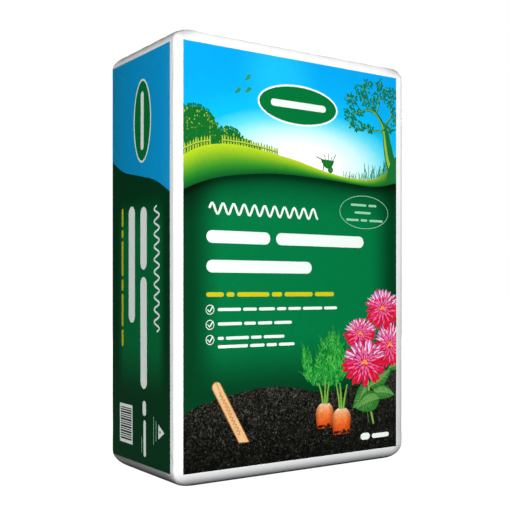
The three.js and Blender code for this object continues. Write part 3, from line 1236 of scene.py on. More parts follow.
lay_mound(MOUND_TOP, 51)
lay("wood_edge", label_strip(LABEL_WIDTH + 2 * LABEL_RIM, LABEL_RIM))
lay("bare_wood", label_strip(LABEL_WIDTH, 0.0))
label_way = np.array(LABEL_FOOT, float) - LABEL_TOP
label_side = np.array([-label_way[1], label_way[0]]) / np.linalg.norm(label_way)
label_mark = []
for step in range(MARK_WAVES * MARK_STEPS + 1):
    down_label = MARK_START + (MARK_END - MARK_START) * step / (MARK_WAVES * MARK_STEPS)
    swing = MARK_SWING * math.sin(math.tau * step / MARK_STEPS)
    label_mark.append(tuple(LABEL_TOP + label_way * down_label + label_side * swing))
lay("wood_mark", band(label_mark, 1.5))

# %% [markdown]
# ## Carrots
#
# A carrot is a shoulder in the form of half an oval above a body that narrows slowly, and a row of
# crumbs hides its foot. Its stalks open into fronds, which are leafy masses: a dark ground of a few
# ovals, then feathers in four greens strewn over it that all point roughly upwards, and single
# fronds at the rim, whose leaflets shrink towards the tip.

# %% Carrots and their fronds
def carrot_shape(top, length, width, steps=12):
    """From its foot up the right, over the shoulder and down the left."""
    shoulder = 0.42 * length
    turns = [math.pi * i / steps for i in range(steps + 1)]
    arc = [(top[0] + width / 2 * math.cos(a), top[1] - shoulder + shoulder * math.sin(a)) for a in turns]
    foot = top[1] - length
    return [(top[0] + 0.42 * width, foot)] + arc + [(top[0] - 0.42 * width, foot)]


LEAFY_MASSES = [
    # the ovals of one mass: middle and half sizes
    [((318, 186), 38, 28), ((318, 212), 28, 34), ((326, 238), 16, 20), ((342, 200), 16, 38),
     ((296, 176), 18, 14)],
    [((262, 214), 7, 18), ((268, 196), 9, 22), ((278, 182), 14, 17), ((290, 172), 16, 12)],
]
FEATHERS = [
    # ink, feathers on each square millimetre, length, width
    ("frond_dark", 0.014, 16.0, 3.2), ("frond_deep", 0.014, 12.0, 2.4), ("frond", 0.044, 13.0, 2.6),
    ("frond_lit", 0.016, 10.0, 1.9),
]
for number, mass in enumerate(LEAFY_MASSES):
    for middle, half_s, half_t in mass:
        lay("frond_dark", oval(middle, half_s * 0.86, half_t * 0.90, 16))
    for order, (ink, each, length, width) in enumerate(FEATHERS):
        for part, (middle, half_s, half_t) in enumerate(mass):
            seed = 100 + 40 * number + 5 * order + part
            area = oval((middle[0], middle[1] - length / 3), half_s, half_t, 12)
            strew(area, ink, Each_mm2=each, Length=length, Width=width, Heading=UPWARDS, Lean=1.0, Vary=0.5,
                  Seed=seed)

SINGLE_FRONDS = [
    # foot and tip of each, which curls a little to the left
    ((324, 236), (326, 268)), ((336, 230), (340, 258)), ((306, 224), (294, 252)), ((262, 206), (254, 242)),
    ((276, 200), (268, 232)), ((274, 172), (250, 188)), ((350, 204), (362, 232)), ((290, 198), (286, 226)),
]
for number, (foot, tip) in enumerate(SINGLE_FRONDS):
    path = smooth([foot, ((foot[0] + tip[0]) / 2 + 2, (foot[1] + tip[1]) / 2), tip])
    for ink, length in (("frond", 12.0), ("frond_lit", 8.0)):
        lay_row(path, ink, Pitch=2.2, Length=length, Width=1.8, Spread=0.6, Follow=1.0, Lean=0.3, Vary=0.5,
                Shrink=0.75, Seed=230 + number)

CARROTS = [
    # top of the carrot, its length and width, and where its stalks lead
    ((308, 129), 47, 41, ((294, 164), (309, 168), (318, 166))),
    ((347, 117), 49, 45, ((334, 162), (343, 162), (360, 158))),
]
for (top_s, top_t), length, width, tips in CARROTS:
    lay("carrot", carrot_shape((top_s, top_t), length, width))
    for number, tip in enumerate(tips):
        foot = (top_s + 4 * (number - 1), top_t - 3)
        bow = ((foot[0] + tip[0]) / 2 - (tip[0] - foot[0]) * 0.1, (foot[1] + tip[1]) / 2)
        path = smooth([foot, bow, tip])
        lay("leaf", band([(s + 1.2, t) for s, t in path], 5.4, 2.6))
        lay("stalk", band(path, 3.8, 1.8))
    crumb_line = [(top_s - 0.6 * width, top_t - length + 3), (top_s + 0.6 * width, top_t - length + 3)]
    lay_row(crumb_line, "soil", Pitch=2.2, Length=8.0, Width=6.0, Lean=2.2, Vary=0.7, Seed=52)

# %% [markdown]
# ## Leaves and blooms
#
# A leaf runs along a bent midrib: a dark rim, the blade, a lit half, then the midrib and its side
# veins. A bloom is a stack of rings of pointed petals, drawn for a radius of 1 and then scaled to
# each bloom. A ring may keep only its upper or its lower petals, because a bloom that faces up and
# forwards shows pale petals above its eye and full red ones below. The panel's edge cuts two off.

# %% Leaves
def bent_leaf(base, tip, width, bend, sides=(1, -1), share=1.0, steps=8):
    """A leaf along a midrib that bows sideways by bend; one side alone gives a half leaf."""
    a, b = np.array(base, float), np.array(tip, float)
    way = b - a
    across = np.array([-way[1], way[0]]) / np.linalg.norm(way)
    shares = [i / steps for i in range(steps + 1)]
    rib = [a + way * x + across * bend * math.sin(math.pi * x) for x in shares]
    swell = [share * width / 2 * math.sin(math.pi * x ** 0.75) ** 0.8 if 0 < x < 1 else 0.0 for x in shares]
    edges = [[tuple(p + across * side * w) for p, w in zip(rib, swell)] for side in sides]
    rib = [tuple(p) for p in rib]
    back = edges[1][1:-1] if len(sides) == 2 else rib[1:-1]
    return edges[0] + back[::-1], rib


LEAVES = [
    # base, tip, width, sideways bend, lit side
    ((404, 158), (374, 113), 27, 6, 1), ((412, 150), (470, 182), 26, -4, 1),
    ((420, 138), (478, 131), 27, 4, 1), ((440, 128), (382, 112), 38, -2, -1),
    ((462, 182), (506, 186), 17, 4, 1),
]
SIDE_VEINS = 4
lay("stalk", band(smooth([(411, 162), (413, 146), (416, 112), (421, 96), (425, 80)]), 5.0, 4.0))
lay("leaf", band(smooth([(410, 106), (411, 95), (413, 84)]), 2.4, 1.8))
for base, tip, width, bend, lit_side in LEAVES:
    rim, rib = bent_leaf(base, tip, width + 2.0, bend)
    lay("leaf_rim", rim)
    lay("leaf", bent_leaf(base, tip, width, bend)[0])
    lay("leaf_lit", bent_leaf(base, tip, width, bend, sides=(lit_side,), share=0.72)[0])
    lay("leaf_vein", band(rib, 1.8, 0.7))
    for number in range(1, SIDE_VEINS + 1):
        start = np.array(rib[number + 1])
        onward = np.array(rib[number + 2]) - start
        for side in (1, -1):
            out = np.array([-onward[1], onward[0]]) * side
            end = start + onward * 1.1 + out / np.linalg.norm(out) * width * 0.30
            bow = (start + end) / 2 + onward * 0.1
            lay("leaf_vein", band([start, bow, end], 0.9, 0.5))

# %% Blooms
ALL, UPPER, LOWER = (lambda y: True), (lambda y: y > 0.15), (lambda y: y < 0.0)
RINGS = [
    # ink, number of petals, start and length and width of each as shares of the radius, turn in
    # petals, which are kept
    ("petal_shade", 23, 0.30, 0.74, 0.30, 0.0, ALL),
    ("petal_deep", 23, 0.32, 0.72, 0.23, 0.0, ALL),
    ("petal", 23, 0.46, 0.54, 0.10, 0.1, ALL),
    ("petal_red", 19, 0.28, 0.76, 0.28, 0.5, LOWER),
    ("petal_lilac", 23, 0.50, 0.50, 0.15, 0.5, UPPER),
    ("petal_pale", 25, 0.52, 0.50, 0.07, 0.2, UPPER),
    ("petal_shade", 19, 0.22, 0.62, 0.26, 0.3, ALL),
    ("petal", 19, 0.23, 0.60, 0.20, 0.3, ALL),
    ("petal_pink", 19, 0.34, 0.44, 0.08, 0.3, UPPER),
    ("petal_red", 17, 0.24, 0.60, 0.19, 0.0, LOWER),
    ("petal_pale", 15, 0.38, 0.44, 0.07, 0.6, UPPER),
    ("petal_pink", 15, 0.44, 0.36, 0.06, 0.1, LOWER),
    ("petal_shade", 16, 0.12, 0.50, 0.20, 0.6, ALL),
    ("petal", 16, 0.13, 0.48, 0.15, 0.6, ALL),
    ("petal_pink", 16, 0.20, 0.36, 0.06, 0.6, ALL),
    ("petal_lilac", 11, 0.24, 0.34, 0.07, 0.2, UPPER),
    ("petal_deep", 13, 0.05, 0.34, 0.14, 0.2, ALL),
    ("petal_pink", 13, 0.06, 0.28, 0.07, 0.2, ALL),
    ("petal_red", 9, 0.02, 0.20, 0.09, 0.5, ALL),
]
BLOOMS = [
    # eye, half width, reach above the eye, reach below it, turn
    ((467, 228), 42, 44, 46, 5), ((448, 297), 47, 37, 42, 1), ((392, 251), 42, 29, 30, 2),
    ((403, 197), 56, 43, 48, 3),
]
EYES = [
    # place and size of each light spot, as shares of the bloom
    (0.0, 0.02, 0.10), (-0.10, -0.05, 0.05), (0.09, -0.06, 0.06),
]
for (eye_s, eye_t), half_width, above, below, turn in BLOOMS:
    for ink, count, start, length, width, step, kept in RINGS:
        petals = motif(
            ring_of_petals, "place", [(0, 0)], ink, Count=count, Hub=start, Length=length, Width=width,
            Turn=turn + math.tau * step / count, Lean=0.16, Vary=0.24, Point=0.4,
            Seed=200 + 20 * turn + count)
        for petal in petals:
            if kept(sum(y for x, y in petal) / len(petal)):
                sized = [(x * half_width, y * (above if y > 0 else below)) for x, y in petal]
                lay(ink, [(eye_s + x, eye_t + y) for x, y in sized])
    for x, y, size in EYES:
        middle = (eye_s + x * half_width, eye_t + y * above)
        lay("flower_eye", oval(middle, size * half_width, size * above, 10))
word_bars("white_ink", 393, 58.5, 12.5, (23,), 5)
word_bars("white_ink", 421, 57.5, 8.5, (43,), 5)
print("shapes on the sheet, front finished:", len(sheet))

# %% [markdown]
# ## The sides
#
# Both sides carry the same plain marks, turned to read downwards: a badge, a wave, three wide bars,
# a yellow line of short ones, the volume's mark, a triangle, and a small white panel with plain
# stripes.

# %% Side panels
LEFT_LINE = smooth([(-260, 572), (-240, 566), (-190, 542), (-130, 529), (-64, 514), (0, 482)], 8)
RIGHT_LINE = smooth([(490, 538), (540, 546), (630, 536), (690, 545), (740, 566), (760, 572)], 8)
STRIPES = (3.2, 1.8, 2.4, 3.4, 1.8, 3.2, 2.4, 1.8, 3.4, 2.4, 1.8, 3.2, 2.4, 1.8)
STRIPE_GAP = 1.7


SIDE_BARS = [
    # ink, place of the middle counted from the front crease, width, then each bar's head and foot
    ("white_ink", 110, 24, ((474, 366), (354, 162))),
    ("white_ink", 156, 25, ((478, 274),)),
    ("yellow_ink", 194, 7, ((477, 444), (439, 424), (419, 356), (351, 330), (325, 266), (261, 231))),
    ("white_ink", 108, 13, ((142, 116),)),
    ("white_ink", 107, 9, ((109, 46),)),
]
THIN_LINES = [
    # place, head, foot
    (65, 113, 79), (74, 119, 72), (118, 80, 52),
]
SIDE_WAVE_PLACE, SIDE_WAVE_HEAD, SIDE_WAVE_LENGTH = 62, 472, 210
SIDE_WAVE_SWING, SIDE_WAVE_COUNT, SIDE_WAVE_STEPS = 9, 10, 15
TRIANGLE = [(57, 83), (36, 96), (57, 108)]
STRIPE_PANEL = box(154, 60, 206, 129)
STRIPE_LEFT, STRIPE_RIGHT, STRIPE_FOOT = 158, 202, 66.0


def side_marks(crease, way):
    """Marks on one side; v counts from the front crease towards the back."""
    def at(v, t):
        return (crease + way * v, t)

    def down(ink, v, width, head, foot):
        lay(ink, bar(at(v, head - width / 2), at(v, foot + width / 2), width))

    badge(at(116, 622), 33, 72, upright=True)
    steps = SIDE_WAVE_COUNT * SIDE_WAVE_STEPS
    swings = [SIDE_WAVE_SWING * math.sin(math.tau * i / SIDE_WAVE_STEPS) for i in range(steps + 1)]
    lay("white_ink", band([
        at(SIDE_WAVE_PLACE + swing, SIDE_WAVE_HEAD - SIDE_WAVE_LENGTH * i / steps)
        for i, swing in enumerate(swings)], 3.6))
    for ink, v, width, spans in SIDE_BARS:
        for head, foot in spans:
            down(ink, v, width, head, foot)
    lay("white_ink", [at(v, t) for v, t in TRIANGLE])
    lay("side_field", oval(at(51, 96), 2.6, 2.6, 12))
    for v, head, foot in THIN_LINES:
        down("pale_green", v, 1.6, head, foot)
    lay("white_ink", [at(v, t) for v, t in STRIPE_PANEL])
    foot = STRIPE_FOOT
    for stripe in STRIPES:
        lay("label_black", [at(v, t) for v, t in box(STRIPE_LEFT, foot, STRIPE_RIGHT, foot + stripe)])
        foot += stripe + STRIPE_GAP


for line, crease, way in ((LEFT_LINE, 0, -1), (RIGHT_LINE, WIDTH, 1)):
    lay("side_field", under(line, BELOW_PRINT))
    side_marks(crease, way)

# %% [markdown]
# ## The back
#
# The back is plainer: the same sky, hill and field, a badge, a line of wide bars and a yellow one, a
# block of text lines shown as short bars, a small box, and a strip of the mound along its foot.

# %% Back panel
BACK_MID = BACK_LEFT + WIDTH / 2
BELOW_BACK_HILL = 480


def on_back(*points):
    """Places counted from the back panel's first crease."""
    return [(BACK_LEFT + u, t) for u, t in points]


BACK_LINE = smooth(on_back(
    (-10, 568), (0, 566), (60, 558), (150, 534), (250, 522), (350, 530), (440, 556), (500, 566),
    (510, 568)), 5)
BACK_HILL = [(s, t + 18 + 26 * math.cos((s - BACK_MID) * 2.4 / WIDTH)) for s, t in BACK_LINE]
BACK_MOUND = smooth(on_back((-10, 96), (80, 118), (200, 130), (330, 120), (430, 104), (510, 96)), 5)

lay("hill", under(BACK_HILL, BELOW_BACK_HILL), head=line_of(BACK_HILL), foot=line_of(BACK_LINE))
lay_field(under(BACK_LINE, BELOW_PRINT), BACK_LINE)
lay_mound(BACK_MOUND, 53)
badge((BACK_MID, 657), 88, 36)
word_bars("white_ink", BACK_LEFT + 60, 470, 20, (150, 110), 12)
word_bars("yellow_ink", BACK_LEFT + 60, 440, 7, (60, 40, 80), 5)

# %% The back's block of text, and a box with a few lines
TEXT_COLUMNS = (60, 262)
TEXT_ROWS, TEXT_TOP, TEXT_PITCH = 14, 412, 14
WORDS_EACH = 4
ROWS_IN_PARAGRAPH = 5

text_block = random.Random(5)
for column in TEXT_COLUMNS:
    for row in range(TEXT_ROWS):
        words = [text_block.randint(16, 44) for _ in range(WORDS_EACH)]
        if row % ROWS_IN_PARAGRAPH != ROWS_IN_PARAGRAPH - 1:
            word_bars("white_ink", BACK_LEFT + column, TEXT_TOP - TEXT_PITCH * row, 4.6, words, 5)
lay("white_ink", on_back(*box(60, 156, 170, 206)))
for number in range(4):
    level = 196 - 10 * number
    lay("label_black", bar(*on_back((68, level), (150 - 14 * number, level)), 2.6))
print("shapes on the whole sheet:", len(sheet))

# %% [markdown]
# ## Points for the web
#
# Printed shapes bring their own points. Besides those the web needs enough points to bend: close
# together round the creases and the soft edges and where the film puckers, and wide apart on the
# flat. Both ends of every row get the same points, so that the web closes on itself.

# %% Rows, columns and their points
CREASE_STEPS = (0, 0.9, 1.8, 2.8, 4.0, 5.4, 8.0, 11.5, TRUE_TO_SIZE)
EDGE_STEPS = 9
TOP_FINER = 1.3
FLAT_STEP = 14.0
BASE_STEP = 16.0
ROOF_STEP = 10.0
FINE = 4
PUCKER_REACH = 105.0
WAVE_ROOM = 30.0


def even_steps(start, end, step):
    count = max(1, round((end - start) / step))
    return [start + (end - start) * i / count for i in range(count + 1)]


def web_columns(fine):
    columns = set()
    for start, length, *_ in FACES:
        inner = even_steps(start + TRUE_TO_SIZE, start + length - TRUE_TO_SIZE, FLAT_STEP)
        if fine:
            pairs = zip(inner, inner[1:])
            inner = [a + (b - a) * i / FINE for a, b in pairs for i in range(FINE)] + inner[-1:]
        columns.update(round(start + d, 6) for d in CREASE_STEPS)
        columns.update(round(start + length - d, 6) for d in CREASE_STEPS)
        columns.update(round(s, 6) for s in inner)
    return sorted(columns)


EDGE_FOOT = FOOT_LINE - BASE_TURN
EDGE_HEAD = HEAD_LINE + TOP_TURN


def web_rows(fine):
    step = FLAT_STEP / (FINE if fine else 1)
    rows = even_steps(WEB_FOOT, EDGE_FOOT, BASE_STEP)
    rows += even_steps(EDGE_FOOT, FOOT_LINE, BASE_TURN / EDGE_STEPS)
    rows += even_steps(FOOT_LINE, HEAD_LINE, step)
    rows += even_steps(HEAD_LINE, EDGE_HEAD, TOP_TURN / EDGE_STEPS / TOP_FINER)
    rows += even_steps(EDGE_HEAD, WEB_HEAD, ROOF_STEP)
    return sorted({round(t, 6) for t in rows})


def near_pucker(s, t):
    distances = (math.hypot(way_round(s, corner_s), t - corner_t) for corner_s, corner_t in WALL_CORNERS)
    return min(distances) < PUCKER_REACH


points = {(s, t) for s in web_columns(False) for t in web_rows(False)}
points |= {
    (s, t) for s in web_columns(True) for t in web_rows(True)
    if EDGE_FOOT < t < EDGE_HEAD and near_pucker(s, t)}
points |= {
    (s, t) for s in web_columns(True)[::2] for t in web_rows(False)
    if HEAD_LINE - WAVE_ROOM < t < EDGE_HEAD and WEB_LEFT < s < WEB_RIGHT}
print("bending points:", len(points))

# %% [markdown]
# ## Cut the web
#
# A constrained triangulation cuts the web along every printed edge at once. Then each triangle
# asks, shape by shape and in the order of printing, whether the shape's outline goes round its
# middle. The last one that does gives it its ink. Outside the four panels nothing prints, so
# whatever crosses a panel's edge is cut off there.
#
# Many shapes end up under others. So the web is cut twice: the second time only along the edges
# where one ink meets another, which leaves far fewer triangles.

# %% Triangulate and ink
MERGE_BELOW = 1e-4


def triangulate(spots, edges):
    corners = sorted(points) + spots
    shifted = [(a + len(points), b + len(points)) for a, b in edges]
    corners = [Vector(p) for p in corners]
    verts, _, triangles, *_ = delaunay_2d_cdt(corners, shifted, [], 0, MERGE_BELOW, False)
    flat = np.array([tuple(v) for v in verts])
    flat = np.clip(flat, (WEB_LEFT, WEB_FOOT), (WEB_RIGHT, WEB_HEAD))
    triangles = np.array([tuple(face) for face in triangles])
    return flat, triangles[np.argsort(flat[triangles, 0].mean(axis=1))]


def goes_round(shape, spots):
    """Whether the shape's outline goes round each spot, once or more."""
    times = np.zeros(len(spots), int)
    for (s0, t0), (s1, t1) in zip(shape, shape[1:] + shape[:1]):
        left_of = (s1 - s0) * (spots[:, 1] - t0) > (spots[:, 0] - s0) * (t1 - t0)
        times += (t0 <= spots[:, 1]) & (spots[:, 1] < t1) & left_of
        times -= (t1 <= spots[:, 1]) & (spots[:, 1] < t0) & ~left_of
    return times != 0


def top_shapes(flat, triangles):
    """For each triangle the number of the shape that shows there, or -1 where the film is bare."""
    middles = flat[triangles].mean(axis=1)
    top = np.full(len(triangles), -1)
    for k, (ink, shape, _, _) in enumerate(sheet):
        (left, foot), (right, head) = np.min(shape, axis=0), np.max(shape, axis=0)
        begin, end = np.searchsorted(middles[:, 0], (left, right))
        level = middles[begin:end, 1]
        near = begin + np.flatnonzero((level > foot) & (level < head))
        if k >= PANEL_COUNT:
            near = near[top[near] >= 0]
        top[near[goes_round(shape, middles[near])]] = k
    return top


def ink_borders(triangles, top):
    """The edges that have one ink on one side and another ink on the other."""
    names = sorted(inks)
    number = np.array([names.index(ink) for ink, *_ in sheet] + [-1])
    sides = np.sort(np.concatenate([triangles[:, pair] for pair in ((0, 1), (1, 2), (2, 0))]), axis=1)
    owners = np.tile(number[top], 3)
    order = np.lexsort((sides[:, 1], sides[:, 0]))
    sides, owners = sides[order], owners[order]
    twins = (sides[1:] == sides[:-1]).all(axis=1)
    return sides[1:][twins & (owners[1:] != owners[:-1])]


outline_edges, outline_spots = [], []
for ink, shape, _, _ in sheet:
    first, count = len(outline_spots), len(shape)
    outline_edges += [(first + i, first + (i + 1) % count) for i in range(count)]
    outline_spots += shape
web, faces = triangulate(outline_spots, outline_edges)
print("first cut:", len(faces), "triangles")

borders = ink_borders(faces, top_shapes(web, faces))
kept, borders = np.unique(borders, return_inverse=True)
web, faces = triangulate([tuple(p) for p in web[kept]], borders.reshape(-1, 2).tolist())
shown = top_shapes(web, faces)
print("second cut:", len(web), "points,", len(faces), "triangles, printed:", int(sum(shown >= 0)))

# %% [markdown]
# ## Wrap and close
#
# The points go through `film`, which gives the bag its form. Three things are kept for each point
# or corner: where it was on the web, its place in its own printed shape, and its place on a map
# that gives the front most of the room, for whoever bakes the materials into a picture later.

# %% Maps
FRONT_SHARE, SIDE_SHARE, BACK_SHARE = 0.53, 0.125, 0.21
END_SHARE = 0.05
MAP_EDGE = 0.005


def bake_place(s, t):
    shares = np.cumsum([0, SIDE_SHARE, FRONT_SHARE, SIDE_SHARE, BACK_SHARE])
    across = np.interp(s, [WEB_LEFT, *CREASES], shares) / (2 * SIDE_SHARE + FRONT_SHARE + BACK_SHARE)
    up = np.interp(t, [WEB_FOOT, PRINT_FOOT, PRINT_HEAD, WEB_HEAD], [0, END_SHARE, 1 - END_SHARE, 1])
    return MAP_EDGE + (1 - 2 * MAP_EDGE) * across, MAP_EDGE + (1 - 2 * MAP_EDGE) * up


def shape_place(k, s, t):
    if k < 0:
        return s * MM, t * MM
    ink, shape, head, foot = sheet[k]
    left, right = min(p[0] for p in shape), max(p[0] for p in shape)
    low_t, high_t = min(p[1] for p in shape), max(p[1] for p in shape)
    below = foot(s) if foot else np.full_like(s, low_t)
    above = head(s) if head else np.full_like(s, high_t)
    return (s - left) / (right - left), np.clip((t - below) / np.maximum(above - below, 1e-6), 0, 1)


# %% Build the film
def build_film():
    mesh = bpy.data.meshes.new("film")
    mesh.from_pydata((film(web[:, 0], web[:, 1]) * MM).tolist(), [], faces.tolist())
    names = ["white_film"] + sorted({sheet[k][0] for k in shown if k >= 0} - {"white_film"})
    for name in names:
        mesh.materials.append(inks[name])
    slots = {name: number for number, name in enumerate(names)}
    slot_of = [slots[sheet[k][0]] if k >= 0 else 0 for k in shown]
    mesh.polygons.foreach_set("material_index", slot_of)

    corner_vert = faces.ravel()
    s, t = web[corner_vert, 0], web[corner_vert, 1]
    shape_of = np.repeat(shown, 3)
    place_uv = np.zeros((len(s), 2))
    order = np.argsort(shape_of, kind="stable")
    kinds, starts = np.unique(shape_of[order], return_index=True)
    for k, here in zip(kinds, np.split(order, starts[1:])):
        place_uv[here, 0], place_uv[here, 1] = shape_place(int(k), s[here], t[here])
    for name, uv in (("OFBake", np.stack(bake_place(s, t), axis=1)), ("artwork", place_uv)):
        layer = mesh.uv_layers.new(name=name)
        layer.uv.foreach_set("vector", uv.ravel().astype(np.float32))
    kept = mesh.attributes.new("web", "FLOAT_VECTOR", "POINT")
    flat = np.concatenate([web, np.zeros((len(web), 1))], axis=1)
    kept.data.foreach_set("vector", flat.ravel().astype(np.float32))
    return mesh


# How near a rim a point of the web lies on it, in millimetres; then two lengths in metres.
RIM_TOLERANCE = 0.01
JOIN_WITHIN = 0.00002
NO_LENGTH = 1e-7


def close_seams(mesh):
    """Joins the web's two side edges, and gathers its head and foot rows on their ridges."""
    work = bmesh.new()
    work.from_mesh(mesh)
    layer = work.verts.layers.float_vector["web"]
    rim = []
    for vert in work.verts:
        s, t, _ = vert[layer]
        if min(s - WEB_LEFT, WEB_RIGHT - s, t - WEB_FOOT, WEB_HEAD - t) < RIM_TOLERANCE:
            rim.append(vert)
    bmesh.ops.remove_doubles(work, verts=rim, dist=JOIN_WITHIN)
    bmesh.ops.dissolve_degenerate(work, dist=NO_LENGTH, edges=work.edges)
    bmesh.ops.triangulate(work, faces=work.faces)
    open_edges = sum(not e.is_manifold for e in work.edges)
    work.to_mesh(mesh)
    work.free()
    return open_edges


def shade_film(mesh):
    """Normals straight from the formula, so that the cut edges of the print never show as facets."""
    flat = np.zeros(len(mesh.vertices) * 3, np.float32)
    mesh.attributes["web"].data.foreach_get("vector", flat)
    flat = flat.reshape(-1, 3).astype(float)
    normals = normals_of(film, flat[:, 0], flat[:, 1])
    mesh.polygons.foreach_set("use_smooth", [True] * len(mesh.polygons))
    unclear = np.abs(normals).sum(axis=1) < 0.5
    normals[unclear] = (0, 0, 1)
    mesh.normals_split_custom_set_from_vertices(normals.tolist())
    mesh.attributes.remove(mesh.attributes["web"])


film_mesh = build_film()
open_edges = close_seams(film_mesh)
shade_film(film_mesh)
bag = add_object("printed_film_bag", film_mesh)
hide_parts("compost_bag")
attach(bag, "root")
print("film:", len(film_mesh.polygons), "triangles, open edges:", open_edges)

# %% [markdown]
# ## The weld on top
#
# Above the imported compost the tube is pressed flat, welded shut with a ribbed bar, and the fin is
# folded down towards the back. The fin is one band with rounded long edges. The ribs of the weld
# repeat at one pitch, so a Geometry Nodes tree lays them across the band and joins them to it.

# %% The folded fin
FIN_END_TAPER = 7.0
FIN_STEPS = 60
FIN_EDGE_STEPS = 6
FIN_SWAY = 0.25
FIN_SWAY_LENGTH = 23.0
RIB_STANDS_OUT = 0.3
FIN_TOP = HEIGHT - RIB_STANDS_OUT


def fin_band():
    half, thick = FIN_LENGTH / 2, FIN_THICKNESS / 2
    ring = []
    for back, first in ((True, -math.pi / 2), (False, math.pi / 2)):
        ring += [(back, first + math.pi * i / FIN_EDGE_STEPS) for i in range(FIN_EDGE_STEPS + 1)]
    corners = []
    for step in range(FIN_STEPS + 1):
        x = -half * math.cos(math.pi * step / FIN_STEPS)
        depth = FIN_WIDTH - max(0.0, abs(x) - half + FIN_END_TAPER)
        for back, angle in ring:
            middle = depth - thick if back else thick
            sway = FIN_SWAY * math.sin(x / FIN_SWAY_LENGTH) * (middle / FIN_WIDTH) ** 2
            z = FIN_TOP - thick + thick * math.sin(angle) + sway
            corners.append((x * MM, (middle + thick * math.cos(angle)) * MM, z * MM))
    count = len(ring)
    sides = []
    for start in range(0, FIN_STEPS * count, count):
        for i in range(count):
            after = (i + 1) % count
            sides.append((start + i, start + after, start + count + after, start + count + i))
    ends = [tuple(range(count))[::-1], tuple(range(FIN_STEPS * count, (FIN_STEPS + 1) * count))]
    mesh = bpy.data.meshes.new("fin")
    mesh.from_pydata(corners, [], sides + ends)
    work = bmesh.new()
    work.from_mesh(mesh)
    bmesh.ops.recalc_face_normals(work, faces=work.faces)
    work.to_mesh(mesh)
    work.free()
    return mesh


# %% The weld's ribs
RIB_PITCH = 2.2
RIB_WIDTH = 1.1
RIB_LENGTH = 17.0
RIB_HEIGHT = 0.5
SHARP_ABOVE = 40


def make_weld_ribs():
    tree, take, give = new_group("weld_ribs", "GeometryNodeTree", {
        "Band": (MESH, None), "Span": (FLOAT, 0.4), "Pitch": (FLOAT, 0.002), "Rib Length": (FLOAT, 0.017),
        "Rib Width": (FLOAT, 0.001), "Rib Height": (FLOAT, 0.0005), "Start": (VECTOR, None),
        "Ink": (MATERIAL, None)}, {"Shapes": MESH})
    count = calc(tree, "FLOOR", calc(tree, "DIVIDE", take["Span"], take["Pitch"]))
    pitch = feed(tree, "ShaderNodeCombineXYZ", None, {0: take["Pitch"]})
    line = feed(tree, "GeometryNodeMeshLine", None, {
        "Count": count, "Start Location": take["Start"], "Offset": pitch})
    rod = feed(tree, "GeometryNodeMeshCylinder", None, {"Vertices": 8, "Radius": 0.5, "Depth": 1.0})
    laid = feed(tree, "GeometryNodeTransform", None, {"Geometry": rod, "Rotation": (math.pi / 2, 0, 0)})
    size = feed(tree, "ShaderNodeCombineXYZ", None, {
        0: take["Rib Width"], 1: take["Rib Length"], 2: take["Rib Height"]})
    rib = feed(tree, "GeometryNodeTransform", None, {"Geometry": laid, "Scale": size})
    ribs = feed(tree, "GeometryNodeInstanceOnPoints", None, {"Points": line, "Instance": rib})
    both = place(tree, "GeometryNodeJoinGeometry")
    tree.links.new(ribs, both.inputs[0])
    tree.links.new(take["Band"], both.inputs[0])
    finish_tree(tree, give, both.outputs[0], take["Ink"])
    return tree


ribs_tree = make_weld_ribs()
rib_span = FIN_LENGTH - 2 * FIN_END_TAPER
weld_mesh = run_tree(ribs_tree, fin_band(), {
    "Span": rib_span * MM, "Start": (-rib_span * MM / 2, FIN_WIDTH / 2 * MM, FIN_TOP * MM),
    "Pitch": RIB_PITCH * MM, "Rib Length": RIB_LENGTH * MM, "Rib Width": RIB_WIDTH * MM,
    "Rib Height": RIB_HEIGHT * MM, "Ink": inks["white_film"]})
weld_mesh.shade_smooth()
weld_mesh.set_sharp_from_angle(angle=math.radians(SHARP_ABOVE))
weld = add_object("bag_top_weld", weld_mesh)
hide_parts("compost_bag")
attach(weld, "root")
print("weld:", len(weld_mesh.polygons), "faces")

# %% [markdown]
# ## Studio
#
# A plain pale floor under an even white surround, a large soft light before the front, a weak one
# low down at the left, and one behind and above for whoever walks round to the back.

# %% Floor and surround
FLOOR_HALF = 30.0
FLOOR_GLOW = 0.96
FLOOR_TONE = 0.35
FLOOR_BOUNCE = 0.08


def matt_skin(tree, level):
    return feed(tree, "ShaderNodeBsdfDiffuse", None, {"Color": (level, level, level, 1)})


def make_floor():
    """The camera sees it nearly white, but it throws little light back up."""
    mesh = bpy.data.meshes.new("floor")
    corners = [(x, y, 0.0) for x, y in box(-FLOOR_HALF, -FLOOR_HALF, FLOOR_HALF, FLOOR_HALF)]
    mesh.from_pydata(corners, [], [(0, 1, 2, 3)])
    floor = add_object("floor", mesh)
    pale = bpy.data.materials.new("pale_floor")
    pale.use_nodes = True
    tree = pale.node_tree
    tree.nodes.clear()
    seen = place(tree, "ShaderNodeLightPath").outputs["Is Camera Ray"]
    glow = feed(tree, "ShaderNodeEmission", None, {"Color": (1, 1, 1, 1), "Strength": FLOOR_GLOW})
    both = feed(tree, "ShaderNodeAddShader", None, {0: glow, 1: matt_skin(tree, FLOOR_TONE)})
    mixed = feed(tree, "ShaderNodeMixShader", None, {0: seen, 1: matt_skin(tree, FLOOR_BOUNCE), 2: both})
    out = place(tree, "ShaderNodeOutputMaterial")
    tree.links.new(mixed, out.inputs[0])
    mesh.materials.append(pale)


AMBIENT = 0.13
AMBIENT_GLOSS = 0.02


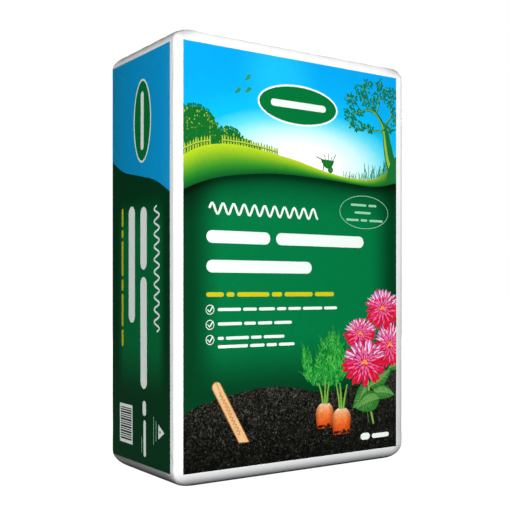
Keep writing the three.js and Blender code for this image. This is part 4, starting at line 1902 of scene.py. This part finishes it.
def make_surround():
    """White to the camera, dim as a light, and dimmer still in the film's reflections."""
    world = bpy.data.worlds.new("white_surround")
    bpy.context.scene.world = world
    world.use_nodes = True
    tree = world.node_tree
    tree.nodes.clear()
    path = place(tree, "ShaderNodeLightPath").outputs
    matt = calc(tree, "SUBTRACT", 1.0, path["Is Glossy Ray"])
    dim = calc(tree, "MULTIPLY_ADD", matt, AMBIENT - AMBIENT_GLOSS, AMBIENT_GLOSS)
    strength = calc(tree, "MAXIMUM", path["Is Camera Ray"], dim)
    white = feed(tree, "ShaderNodeBackground", None, {"Color": (1, 1, 1, 1), "Strength": strength})
    out = place(tree, "ShaderNodeOutputWorld")
    tree.links.new(white, out.inputs[0])


make_floor()
make_surround()

# %% Soft lights
LIGHTS = [
    # name, where it stands, width and height, power
    ("front_light", (-1.75, -3.17, 0.92), (2.0, 1.8), 164),
    ("left_light", (-3.4, -0.6, 0.45), (1.6, 1.2), 5),
    ("rear_light", (2.6, 2.9, 2.3), (2.4, 2.0), 130),
]
AIM = Vector((0, 0, HEIGHT * MM / 2))

for name, stand, size, power in LIGHTS:
    data = bpy.data.lights.new(name, "AREA")
    data.shape = "RECTANGLE"
    data.size, data.size_y = size
    data.energy = power
    lamp = add_object(name, data)
    lamp.location = stand
    lamp.rotation_euler = (AIM - Vector(stand)).to_track_quat("-Z", "Y").to_euler()

# %% [markdown]
# ## Camera
#
# The camera stands level, a little over a metre and a half away, and sees the front and the left
# side. Its frame is shifted up slightly instead of tilting it, which keeps the upright edges
# upright.

# %% Camera
CAMERA_PLACE = (-0.9215, -1.352, 0.325)
CAMERA_TURN = math.radians(-33.88)
CAMERA_LENS = 61.3
CAMERA_SENSOR = 36.0
CAMERA_RISE = 0.068

camera_data = bpy.data.cameras.new("camera")
camera_data.lens = CAMERA_LENS
camera_data.sensor_width = CAMERA_SENSOR
camera_data.shift_y = CAMERA_RISE
camera = add_object("camera", camera_data)
camera.location = CAMERA_PLACE
camera.rotation_euler = (math.pi / 2, 0, CAMERA_TURN)
bpy.context.scene.camera = camera
bpy.context.scene.view_settings.view_transform = "Standard"
